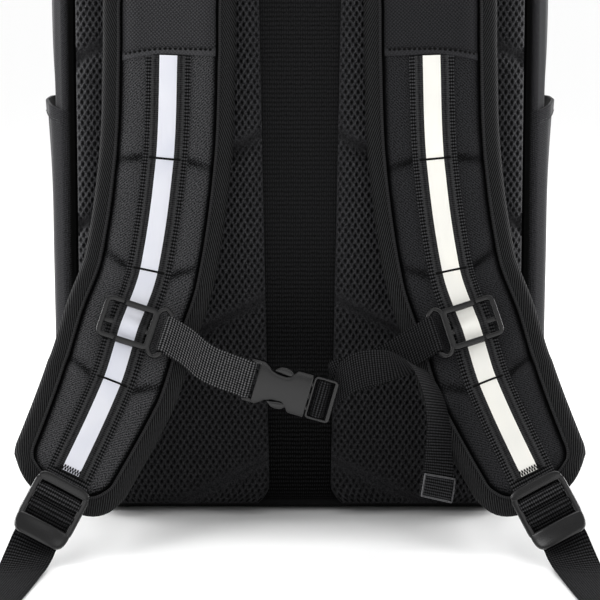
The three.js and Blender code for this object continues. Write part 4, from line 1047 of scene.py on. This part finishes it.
def cap_shape():
    """The cap over the pad's upper face, which ends in a fold 0.9 mm thicker for its last 4 mm. The fold
    hangs lower towards its outer side, by hem_drop."""
    t = np.linspace(-CAP_HALF, CAP_HALF, 31)[None, :]
    left = np.r_[np.linspace(CAP_LONG, 4.8, 50), 4.4, 4.1, 3, 1, 0.3, 0][:, None]
    s = S_HEM - left + hem_drop(t) * (1 - left / CAP_LONG)
    pad, thick = pad_height(t), fullness(s)
    fold = np.interp(left, [0, 0.3, 1, 4.1, 4.4, 4.8], [0.1, 0.6, 0.9, 0.9, 0, 0])
    top = (pad + 1.3) * thick + fold - 0.5 * (np.abs(t) / CAP_HALF) ** 12
    # The fold's last 3.2 mm is painted lighter, as a painted highlight
    return strap_sheet(s, t, top, pad * thick + 0.35, -0.25 * (left < 3.2))


caps = pair("strap_cap", cap_shape(), overlays, "strap_cap")
print("cap quads:", len(caps[0].data.polygons))

# %% [markdown]
# ## Ladder locks and the straps' lower ends
# The webbing loops round the first bar of the lock. The adjusting webbing comes from the side seam behind
# the strap, goes round the second bar and leaves as the free end, which lies on the floor.

# %% Lock frame and webbing
# Close polyester webbing: hard ribs, which are in the mesh, of yarns 1.3 mm apart.
strap_yarn = woven(
    "close_webbing", "#020202", "#48484a", 0, 1.3, 0.1, share=0.6, spread=(0.1, 0.75), sink=0.7
)
# Polyester webbing, duller and painted darker as painted shade, for the adjusting webbing and the chest
# strap's right half, which are turned away from the side light.
dull_shaded_yarn = woven("dull_webbing_painted_shade", "#020202", "#353537", 0, 1.3, 0.12, share=0.6, spread=(0.1, 0.7), sink=0.7)

LOCK_AT = np.array([134.3, -200.6, 28.6])
LOCK_ALONG = unit(np.array([0.44, -0.4, -0.805]))
LOCK_OUT = unit(np.array([0, -1.0, 0]) + LOCK_ALONG * LOCK_ALONG[1])
LOCK_ACROSS = np.cross(LOCK_OUT, LOCK_ALONG)
BAR_1, BAR_2 = -8.0, 0.4
in_lock = placed(LOCK_AT, LOCK_ALONG, LOCK_OUT, LOCK_ACROSS)


def with_across(points, across):
    """Rows of place and width direction for a band."""
    return np.concatenate([points, np.broadcast_to(across, points.shape)], 1)


FOLD = np.radians([200, 165, 125, 90, 55, 15, -20])


def fold_round(bar):
    """Webbing bent over a bar, as lengths along and out: an ellipse of 2.7 by 2.2 mm."""
    return bar + 2.7 * np.cos(FOLD), 2.2 * np.sin(FOLD)


s = np.r_[np.arange(S_HEM + 0.4, S_TAPE_END, 4), S_TAPE_END + 6]
at, _, across, out = strap_frame(s)
on_strap = np.concatenate([at + out * (1.0 - dip(s))[:, None], across], 1)
a, n = fold_round(BAR_1)
a = np.r_[-16, -13, -11.4, a, -3.7, -2.7, -2.4]
n = np.r_[-4.0, -2.7, -1.2, n, -2.4, -3.7, -5.2]
strap_web = np.concatenate([on_strap, with_across(in_lock(a, n), LOCK_ACROSS)])
web_shape = band(strap_web, 25.4, 1.25, 1.9, 0.3)
pair("strap_webbing", web_shape, strap_yarn, "strap_webbing")

# Place and sideways tilt: from the side seam to the lock, and from the lock along the floor
ANCHOR = np.array([
    (129.1, -80.7, 36, 1), (129.1, -92, 36, 1), (130.2, -110, 34.8, 0.97), (132.6, -135, 31.5, 0.86),
    (135, -160, 27.5, 0.68), (136.6, -176, 24.6, 0.54), (137.3, -186, 22.7, 0.48),
])
TAIL = np.array([
    (144.8, -211.5, 8.4, 0.3), (147.2, -222, 3.6, 0.12), (148.9, -234, 1.5, 0),
    (150.8, -252, 1, 0), (153.4, -278, 1, 0), (155.8, -298, 1, 0),
])


def on_floor(table):
    """Place, and width direction (sqrt(1 - tilt^2), 0, tilt)."""
    tilt = table[:, 3]
    return np.concatenate([table[:, :3], np.stack([np.sqrt(1 - tilt**2), 0 * tilt, tilt], 1)], 1)


a, n = fold_round(BAR_2)
a = np.r_[0.6, 1.4, 0.4, -1.3, a, 5.2, 9, 14, 18.5]
n = np.r_[-11, -7, -3.7, -2.1, n, -2.7, -3.1, -3.1, -3.1]
adjuster = np.concatenate([on_floor(ANCHOR), with_across(in_lock(a, n), LOCK_ACROSS), on_floor(TAIL)])
adjuster_shape = band(adjuster, 25, 1.3, 2.0, 0.3)
pair("adjuster_webbing", adjuster_shape, dull_shaded_yarn, "adjuster_webbing")
print("webbing quads:", len(web_shape["quads"]), len(adjuster_shape["quads"]))

# %% [markdown]
# The lock is moulded in one piece: a frame round a window, two bars across it, and a lip that flares out
# so that a thumb can tip it.


# %% Lock mouldings
def rounded_ring(x0, x1, y0, y1, radius, steps=8):
    """Points of a rounded rectangle, corner by corner, as x and y."""
    turn = (np.arange(4)[:, None] + np.linspace(0, 1, steps)[None, :]).ravel() * np.pi / 2
    x = np.repeat([x1 - radius, x0 + radius, x0 + radius, x1 - radius], steps) + radius * np.cos(turn)
    y = np.repeat([y1 - radius, y1 - radius, y0 + radius, y0 + radius], steps) + radius * np.sin(turn)
    return x, y


# Moulded acetal: satin black, with a soft even gloss that brightens along its edges.
acetal, tree, main = blank(
    "moulded_acetal", base_color=colour("#060607"), roughness=0.26, ior=1.48, specular_ior_level=0.5
)
place = add(tree, "ShaderNodeTexCoord").outputs["Object"]
grit = add(tree, "ShaderNodeTexNoise", {"Vector": place, "Scale": 1500, "Detail": 2})
spark = {"Height": grit.outputs["Fac"], "Distance": 0.04 * MM, "Strength": 0.4}
add(tree, "ShaderNodeBump", spark, main.inputs["Normal"])

t, a = rounded_ring(-14.1, 14.1, -15.7, 11, 4.6)
lock_frame = sweep(in_lock(a, 0.0, t), LOCK_OUT, 1.6, 1.85, 3.2, 20, closed=True)
bar_t = np.linspace(-14, 14, 9)
bars = [sweep(in_lock(bar, 0.0, bar_t), LOCK_ALONG, 1.2, 1.1, 3) for bar in (BAR_1, BAR_2)]
lip_a = np.r_[7.4, 7.8, 9, 10.8, 12.4, 14, 15.8, 17.2, 18.2, 18.7]
half = np.r_[14.2, 15, 15.5, 15.5, 15.3, 15, 14.2, 12.9, 10.8, 8.6]
thick = np.r_[1.3, 1.7, 1.8, 1.8, 1.75, 1.65, 1.5, 1.3, 1.0, 0.6]
lip = sweep(in_lock(lip_a, 0.02 * (lip_a - 6.5).clip(0) ** 2), LOCK_ACROSS, half, thick, 5, 48)
# The lip is domed: it rises by 1.2 mm * (1 - (t / 15)^2) in its middle
lip_t = (lip["points"] - LOCK_AT) @ LOCK_ACROSS
lip["points"] += LOCK_OUT * (1.2 - 1.2 * (lip_t / 15) ** 2)[:, None]
head_a = np.r_[-18.5, -18.3, -17.6, -16.4, -14.8, -13.2, -12.8, -12.6]
half = np.r_[9.6, 11.4, 13.2, 14.7, 15.3, 15.3, 15.2, 14.8]
thick = np.r_[0.7, 1.2, 1.6, 1.8, 1.9, 1.9, 1.7, 1.3]
head = sweep(in_lock(head_a, 0.0), LOCK_ACROSS, half, thick, 6, 40)
locks = pair("ladder_lock", joined([lock_frame, *bars, lip, head]), acetal, "ladder_lock")
print("lock quads:", len(locks[0].data.polygons))

# %% [markdown]
# ## Chest strap
# Two moulded sliders ride on the straps. Their D loops carry the chest strap, which closes with a
# side-release buckle. The strap's free tail comes out behind the buckle, rolls over and hangs in front of
# the right strap.

# %% Chest sliders
at, along_s, across_s, out_s = (value[0] for value in strap_frame([S_SLIDER]))
SLIDER_UP = 1.2  # how far the slider's middle sits above its bar
slider_mid = at + out_s * (4.8 + 1.3) - along_s * SLIDER_UP
D_BAR = -21.4
# Lengths across, along and out; a negative first one is towards the chest
in_slider = placed(slider_mid, across_s, along_s, out_s)

# Two rails cross over the tape and close at the chest side; a hook closes the outer side, past a slit
rail = rounded_path([(5.6, -10.9), (-12.5, -10.9), (-12.5, 10.9), (4.9, 10.9)], 2.4)
hook = rounded_path([(7.0, -11.3), (15.9, -11.3), (15.9, 10.7), (6.3, 10.7)], 3.2)
rail_bar = sweep(in_slider(rail[:, 0], rail[:, 1]), out_s, 1.3, 1.7, 5, 24)
hook_bar = sweep(in_slider(hook[:, 0], hook[:, 1], -0.2), out_s, 1.25, 1.5, 4, 24)
x, a = rounded_ring(D_BAR, -13.4, -14.2, 14.2, 4.6)
d_ring = sweep(in_slider(x, a), out_s, 1.25, 1.4, 2.8, 20, closed=True)
bar_t = np.linspace(-13.6, 16.4, 7)
hidden_bar = sweep(in_slider(bar_t, SLIDER_UP, -2.8), along_s, 1.5, 0.7, 4)
post_n = np.linspace(-2.9, 0.4, 5)
posts = [sweep(in_slider(t, SLIDER_UP, post_n), along_s, 1.5, 1.2, 4) for t in (-12.6, 15.9)]
slider_shape = joined([rail_bar, hook_bar, d_ring, hidden_bar, *posts])
sliders = pair("chest_slider", slider_shape, acetal, "chest_slider")
print("slider quads:", len(sliders[0].data.polygons))

# %% [markdown]
# The buckle's socket is waisted where the prongs are pressed. Its plug has two prongs, a tongue between
# them, and a ring with a bar that the chest strap turns round.

# %% Buckle
BUCKLE_AT = np.array([-2.8, -143, 83.4])
BUCKLE_ALONG = unit(np.array([0.962, 0, -0.274]))
BUCKLE_OUT = np.array([0, -1.0, 0])
BUCKLE_UP = -np.cross(BUCKLE_ALONG, BUCKLE_OUT)
SOCKET_BAR, PLUG_BAR = -27.3, 14.7
in_buckle = placed(BUCKLE_AT, BUCKLE_ALONG, BUCKLE_OUT, BUCKLE_UP)

# Half width of the socket along the buckle: wide at its bar end, waisted where the prongs are pressed
SOCKET = np.array([
    (-23, 11.2), (-22.4, 12), (-20.8, 12.4), (-18.4, 11), (-15.8, 8.8), (-11.6, 7.4), (-6.7, 7.2), (-5, 7.8),
    (-3.7, 9.2), (-1.8, 11.8), (-0.9, 12.3), (7.9, 12.4),
])
e = np.r_[-23, -22.9, -22.6, np.linspace(-22, 7.2, 64), 7.6, 7.8, 7.9]
half = np.interp(e, SOCKET[:, 0], SOCKET[:, 1])
ease = np.interp(e, [-23, -22.9, -22.6, -22, 7.2, 7.6, 7.8, 7.9], [0.84, 0.92, 0.98, 1, 1, 0.97, 0.92, 0.86])
socket_body = sweep(in_buckle(e), BUCKLE_UP, half * (0.6 + 0.4 * ease), 3.5 * ease, 10, 80)
# The faces are domed a little: they fall by 0.7 mm * (w / 12)^2 towards the long edges
up = (socket_body["points"] - BUCKLE_AT) @ BUCKLE_UP
thick = (socket_body["points"] - BUCKLE_AT) @ BUCKLE_OUT
socket_body["points"] -= BUCKLE_OUT * (0.7 * (up / 12) ** 2 * thick / 3.5)[:, None]
lug_e = np.r_[-28.4, -28.2, -27.4, -24, -21]
lug_thick = np.r_[1.2, 1.9, 2.2, 2.5, 2.6]
lugs = [
    sweep(in_buckle(lug_e, 0.0, side * 11.1), BUCKLE_UP, np.r_[0.6, 0.9, 1.1, 1.2, 1.2], lug_thick, 4)
    for side in (-1, 1)
]
bar_w = np.linspace(-11.4, 11.4, 7)
socket_bar = sweep(in_buckle(SOCKET_BAR, 0.0, bar_w), BUCKLE_ALONG, 1.15, 1.15, 3)
socket_parts = joined([socket_body, *lugs, socket_bar])
socket = piece("buckle_socket", socket_parts, acetal, ["buckle_socket"])

e, w = rounded_ring(9.1, 21.9, -11.6, 11.6, 1.8)
plug_ring = sweep(in_buckle(e, 0.0, w), BUCKLE_OUT, 2.0, 0.8, 4, 20, closed=True)
end_bar = sweep(in_buckle(21.45, 0.0, np.linspace(-11.2, 11.2, 7)), BUCKLE_ALONG, 1.3, 2.0, 4)
plug_bar = sweep(in_buckle(PLUG_BAR, 0.0, bar_w), BUCKLE_ALONG, 1.1, 1.1, 3)
arm_e = np.r_[-13.8, -13.2, -11, -8.6, -6, -4.6, -3, 0, 2, 9.2]
arm_w = np.r_[9.1, 9.3, 9.9, 9.8, 9.6, 9.2, 8.2, 7.5, 7.2, 6.8]
arm_half = np.r_[0.5, 0.9, 1.9, 2.35, 2.3, 2.0, 1.4, 1.4, 1.5, 1.5]
arms = [sweep(in_buckle(arm_e, 0.0, side * arm_w), BUCKLE_UP, arm_half, 1.9, 3.5) for side in (-1, 1)]
tongue = sweep(in_buckle(np.r_[-9, -8.4, 0, 9.2]), BUCKLE_UP, np.r_[1.2, 2.2, 2.2, 2.2], 1.6, 4)
plug_parts = joined([plug_ring, end_bar, plug_bar, *arms, tongue])
plug = piece("buckle_plug", plug_parts, acetal, ["buckle_plug"])
print("buckle quads:", len(socket.data.polygons), len(plug.data.polygons))

# %% [markdown]
# Each half of the chest strap is one band. Its stations are written from the sewn loop on the slider's
# bar to the buckle. The left half ends there in a second sewn loop.

# %% Chest strap, left half
# Polyester webbing with a dull shine, painted lighter than the straps' own as painted light: the lit copy
# of the webbing on the chest strap's right half.
lit_webbing_yarn = woven(
    "polyester_webbing_painted_light", "#020202", "#6a6a6c", 0, 1.3, 0.12, roughness=0.6, share=0.6,
    spread=(0.1, 0.7), sink=0.75,
)
CHEST_R, LEG, SEWN, CHEST_WIDE = 2.6, 0.9, 20, 21
NEAR_BAR = LEG + 0.7 * (CHEST_R - LEG)  # how far the two legs spread just before a bar
CHEST_WEAVE = (CHEST_WIDE, 1.3, 1.6, 0.26)  # width, thickness, and the ribs' pitch and depth
HALF_TURN = np.radians([-90, -55, -20, 20, 55, 90])


def fold_over(bar, away, out, across):
    """A half turn round a bar from behind to in front: bar + R (away cos + out sin)."""
    turn = HALF_TURN[:, None]
    return with_across(bar + CHEST_R * (away * np.cos(turn) + out * np.sin(turn)), across)


def chest_run(side, end_at, end_across):
    """The line from a slider's bar to the buckle: a function of s and n that gives rows of place and width,
    the sewn loop on the bar, and the line's length."""
    flip = np.array([side, 1, 1])
    start = in_slider(D_BAR, 0.0) * flip
    away, up, out = across_s * flip, -along_s * flip, out_s * flip
    dip_at = (start + end_at) / 2 + (0, -1.5, -3.5)
    rows = np.stack([start, start - away * 12 + (0, 0, -3), dip_at, end_at])
    knots = chord(rows)

    def at(s, n):
        s, n = np.broadcast_arrays(np.asarray(s, float), n)
        share = (s / knots[-1]).clip(0, 1)[:, None]
        face = unit(out * (1 - share) + BUCKLE_OUT * share)
        width = unit(up * (1 - share) + end_across * share)
        return np.concatenate([read_curve(rows, knots, s) + face * n[:, None], width], 1)

    turned = np.concatenate([
        at(np.r_[SEWN, 14, 9], -LEG),
        at(np.r_[4.0], -NEAR_BAR),
        fold_over(start, away, out, up),
        at(np.r_[4.0], NEAR_BAR),
    ])
    return at, turned, knots[-1]


bar = in_buckle(SOCKET_BAR)
at, turned, length = chest_run(-1, bar, BUCKLE_UP)
middle = np.r_[9, 16, 24, 32, 40]
middle = middle[middle < length - 10]
chest_left = np.concatenate([
    turned,
    at(middle, LEG),
    at(np.r_[length - 9], LEG),
    at(np.r_[length - 4], NEAR_BAR),
    fold_over(bar, BUCKLE_ALONG, BUCKLE_OUT, BUCKLE_UP)[::-1],
    at(np.r_[length - 4], -NEAR_BAR),
    at(length - np.r_[9, 14, SEWN], -LEG),
])
left_shape = band(chest_left, *CHEST_WEAVE)
piece("chest_webbing_left", left_shape, lit_webbing_yarn, ["chest_webbing_left"])

print("left half quads:", len(left_shape["quads"]))

# %% [markdown]
# The right half turns round the plug's bar and ends as a free tail that twists as it rolls over. A table
# of the tail's two edges gives the twist more surely than a middle line with an angle.

# %% Chest strap, right half
# Upper edge, which becomes the left edge, and lower edge: x, y, z each
TAIL_EDGES = np.array([
    (18.2, -139.7, 87.8, 12.7, -139.7, 68.6), (20, -139.6, 92, 17, -139.6, 70.5),
    (21.5, -139.8, 97.5, 23.5, -139.8, 78.5), (30.7, -143, 105.5, 34.1, -143, 85.5),
    (45, -150, 109, 47.5, -147, 89.2), (53.7, -157, 107.6, 60, -147, 93),
    (60.2, -162, 102.6, 69.4, -148.5, 96), (64.6, -165, 95.7, 76, -151, 89.5),
    (68.5, -166.5, 83.4, 81, -154.5, 79), (69.8, -168, 69.1, 84, -160, 65),
    (68.9, -170, 54, 84.7, -166, 50.4), (67.6, -172, 42.3, 85.6, -169.5, 37),
    (65.9, -172, 31, 84, -169.5, 25),
])
ENTRY_EDGES = np.array([(17, -137.4, 99, 24.5, -137.4, 80.5), (16.5, -137.9, 92.5, 15, -137.9, 72.5)])


def between_edges(table):
    """Middle and width direction of a band from its two edges: (u + v) / 2 and u - v, turned in depth until
    it is as long as the band is wide: dy = sqrt(width^2 - dx^2 - dz^2)."""
    u, v = table[:, :3], table[:, 3:]
    wide = u - v
    short = (CHEST_WIDE**2 - wide[:, 0] ** 2 - wide[:, 2] ** 2).clip(0)
    wide[:, 1] = np.sign(wide[:, 1]) * np.sqrt(short)
    return np.concatenate([(u + v) / 2, unit(wide)], 1)


entry = between_edges(ENTRY_EDGES)
at, turned, length = chest_run(1, entry[0, :3], entry[0, 3:])
s = np.r_[9, 15, 21, 27, 33, 39, 45]
s = s[s < length - 5]
chest_right = np.concatenate([
    turned,
    at(s, LEG * (1 - s / length)),
    entry,
    with_across(in_buckle(np.r_[16.7], -4.0), BUCKLE_UP),
    fold_over(in_buckle(PLUG_BAR), -BUCKLE_ALONG, BUCKLE_OUT, BUCKLE_UP),
    with_across(in_buckle(np.r_[17.1, 18.1], np.r_[1.7, -0.6]), BUCKLE_UP),
    between_edges(TAIL_EDGES),
])


def tail_fold(left):
    """Extra thickness of the tail's folded end: 1.1 mm over its last 13 mm."""
    return 1.1 * np.interp(left, [0, 12.6, 13.2, 14], [1, 1, 0.2, 0])


right_shape = band(chest_right, *CHEST_WEAVE, extra=tail_fold)
piece("chest_webbing_right", right_shape, dull_shaded_yarn, ["chest_webbing_right"])

# The tail's end is folded over and sewn down: its raised edge runs round the fold, in the lighter webbing
# as a painted highlight.
knots = chord(chest_right)
read = read_curve(chest_right, knots, knots[-1] - np.linspace(13, 0.6, 14))
tail_path, tail_across = read[:, :3], unit(read[:, 3:6])
tail_out = directions(tail_path, tail_across)[1]
tail_face = tail_path - tail_out * np.sign(tail_out[:, 1:2]) * 1.25
HEM_HALF = 9.9
edge_t = np.linspace(-HEM_HALF, HEM_HALF, 9)[:, None]
hem_edge = np.concatenate([
    tail_face[0] + tail_across[0] * edge_t,
    tail_face[1:-1] + tail_across[1:-1] * HEM_HALF,
    tail_face[-1] - tail_across[-1] * edge_t,
    (tail_face[1:-1] - tail_across[1:-1] * HEM_HALF)[::-1],
])
hem_out = np.mean(tail_face - tail_path, axis=0)
piece("tail_hem", sweep(hem_edge, hem_out, 0.4, 0.55, 2.4, 8, closed=True), lit_webbing_yarn)
print("right half quads:", len(right_shape["quads"]))

# %% [markdown]
# ## Yoke and carrying loop
# Above the photo's edge the straps run under a sewn yoke, and a loop of webbing carries the pack.


# %% Yoke and loop
def yoke_grid(lift):
    """A cloth strip over both strap ends: y follows the straps' faces, and falls to the panel at the ends and
    in the middle."""
    z = np.linspace(390, 413, 14)[:, None]
    x = np.linspace(-110, 110, 111)[None, :]
    face = -87 - 12 * (408 - z) / 22 - 2
    seat = BACK - GAP - 0.5
    a = np.abs(x)
    over = np.interp(a, [0, 14, 22, 106, 110], [0, 0, 1, 1, 0])
    over = over * over * (3 - 2 * over)
    y = seat + (face - seat) * over - lift + 0 * z
    return np.stack(np.broadcast_arrays(x + 0 * z, y, z + 0 * x), -1)


yoke = piece("shoulder_yoke", shell(yoke_grid(1.4), yoke_grid(0)), body_cloth, ["shoulder_yoke"])

LOOP_Y = -48
loop_seat = body_point(5.0, LOOP_Y)[2] + GAP + 1.3
profile = np.array([(60, 0), (48, 0.3), (41, 5), (31, 15), (17, 24.5), (0, 27)])
loop_xz = np.concatenate([profile, profile[-2::-1] * (-1, 1)])
loop_path = np.stack([loop_xz[:, 0], np.full(len(loop_xz), LOOP_Y), loop_seat + loop_xz[:, 1]], 1)
loop_shape = band(with_across(loop_path, unit(np.array([0, 1, 0.12]))), 20, 1.6, 1.8, 0.17)
piece("haul_loop", loop_shape, lit_webbing_yarn, ["haul_loop"])
print("yoke and loop done")

# %% [markdown]
# ## Stitching
# Thread is what makes sewn work read as sewn: lines of stitches at hems, dense bars across the tape at
# each tack, and two staggered rows of dots at the tape's lower end.

# %% Threads
# Polyester thread: black, with a dull shine.
thread, tree, main = blank(
    "black_thread", base_color=colour("#040404"), roughness=0.7, specular_ior_level=0.1
)
place = add(tree, "ShaderNodeTexCoord").outputs["Object"]
ply = add(tree, "ShaderNodeTexNoise", {"Vector": place, "Scale": 3000})
add(tree, "ShaderNodeBump", {"Height": ply.outputs["Fac"], "Distance": 0.1 * MM}, main.inputs["Normal"])
# The same thread in grey, for the body's cloth.
grey_thread = thread.copy()
grey_thread.name = "grey_thread"
grey_thread.node_tree.nodes["Principled BSDF"].inputs["Base Color"].default_value = colour("#303031")

# A thin bar across the tape at each tack, and the dots at its end
ON_TAPE, ON_RIBBON = 3.05, 2.55
tack_bars = []
for tack in TACKS:
    t = np.linspace(-9, 9, 25)
    h = np.where(np.abs(t) < 5.1, ON_TAPE, ON_RIBBON) - dip(tack)
    along = strap_frame([tack])[1][0]
    tack_bars.append(sweep(strap_point(tack, t, h), along, 0.62, 0.4, 2.5, 10))
pair("tape_tack", joined(tack_bars), thread)
dot_rows = []
for back, shift in ((2.7, 0), (1.1, 0.75)):
    t = np.linspace(-6.2 + shift, 6.2 + shift, 30)
    dot_path = strap_point(S_TAPE_END - back, t, ON_TAPE)
    dot_rows.append(stitches(dot_path, strap_frame([S_TAPE_END])[3][0], 0.9, 1.5, 0.75))
pair("tape_dots", joined(dot_rows), thread)

# The cap's hem
t = np.linspace(-25.5, 25.5, 40)
hem_path = strap_point(S_HEM - 3.3 + hem_drop(t), t, pad_height(t) + 2.25)
hem_out = strap_frame([S_HEM])[3][0]
pair("cap_stitch", stitches(hem_path, hem_out, 1.9, 2.9, 0.55), thread)

# The pocket's hem
y = np.linspace(POCKET_Y[0] + 3, POCKET_Y[1] - 3, 60)
STITCH_DOWN = 6.8
stitch_z = np.full(len(y), RIM_Z - STITCH_DOWN)
p = body_point(side_way(stitch_z), y)
p[:, 0] += 2.1 * flush_at(y) + pocket_bulge(y, stitch_z) - waist(p)
pair("pocket_stitch", stitches(p, (1, 0, 0), 2.6, 3.6, 0.3), grey_thread)

# A row beside the front seam: up one side, over the top and down the other
STITCH_Y = 74.5
ways = np.r_[np.linspace(-1.3, -5, 200), np.linspace(5, 1.3, 200)[1:]]
seam_path = body_point(ways, STITCH_Y)
seam_out = unit(seam_path - body_point(ways, STITCH_Y, 1.0)) + (0, 1.5, 0)
piece("front_stitch", stitches(seam_path, seam_out, 2.8, 4.0, 0.4), grey_thread)
print("stitching done")

# %% [markdown]
# ## Floor and light
# A pale floor runs out past the view. Big soft lamps stand at both sides and overhead, so the body's
# sides shine softly at their edges and the floor goes almost white, with a soft shadow under the pack.
# Two small ones in front, the left one stronger, give the mouldings their glints.

# %% Floor and lamps
floor_mesh = bpy.data.meshes.new("floor")
reach = 150.0
floor_corners = [(-reach, -reach, 0), (reach, -reach, 0), (reach, reach, 0), (-reach, reach, 0)]
floor_mesh.from_pydata(floor_corners, [], [(0, 1, 2, 3)])
floor = bpy.data.objects.new("floor", floor_mesh)
bpy.context.scene.collection.objects.link(floor)
# Matt floor paint, almost white.
floor_paint = blank("pale_floor", base_color=colour("#f4f4f4"), roughness=0.9, specular_ior_level=0.1)[0]
floor.data.materials.append(floor_paint)

world = bpy.data.worlds.new("studio")
world.use_nodes = True
sky = world.node_tree.nodes["Background"].inputs
sky["Color"].default_value = (1, 1, 1, 1)
sky["Strength"].default_value = 0.5
bpy.context.scene.world = world


def lamp(name, kind, at, aim, size, power):
    """A soft lamp at a place, turned to look at aim; size is a box's side, or a sun's width in degrees."""
    data = bpy.data.lights.new(name, kind)
    if kind == "SUN":
        data.angle = np.radians(size)
    else:
        data.size = size
    data.energy = power
    made = bpy.data.objects.new(name, data)
    made.location = at
    look = np.asarray(aim, float) - np.asarray(at, float)
    flat = np.hypot(look[0], look[1])
    made.rotation_euler = (np.pi / 2 + np.arctan2(look[2], flat), 0, np.arctan2(-look[0], look[1]))
    bpy.context.scene.collection.objects.link(made)


BODY_MIDDLE, BUCKLE_NEAR = (0, 0, 0.25), (0, -0.15, 0.1)
lamp("left_box", "AREA", (-1.7, 0.5, 0.6), BODY_MIDDLE, 1.0, 46)
lamp("right_box", "AREA", (1.7, 0.5, 0.6), BODY_MIDDLE, 1.0, 46)
lamp("front_box", "AREA", (0.3, -2.4, 1.2), BODY_MIDDLE, 1.6, 8)
lamp("left_strip", "AREA", (-0.9, -0.75, 0.8), BUCKLE_NEAR, 0.45, 3.0)
lamp("right_strip", "AREA", (0.9, -0.75, 0.8), BUCKLE_NEAR, 0.45, 0.9)
lamp("overhead", "SUN", (0, 1.0, 2.6), (0, 0, 0), 70, 2.0)
bpy.context.scene.view_settings.view_transform = "Standard"
print("floor and lamps ready")
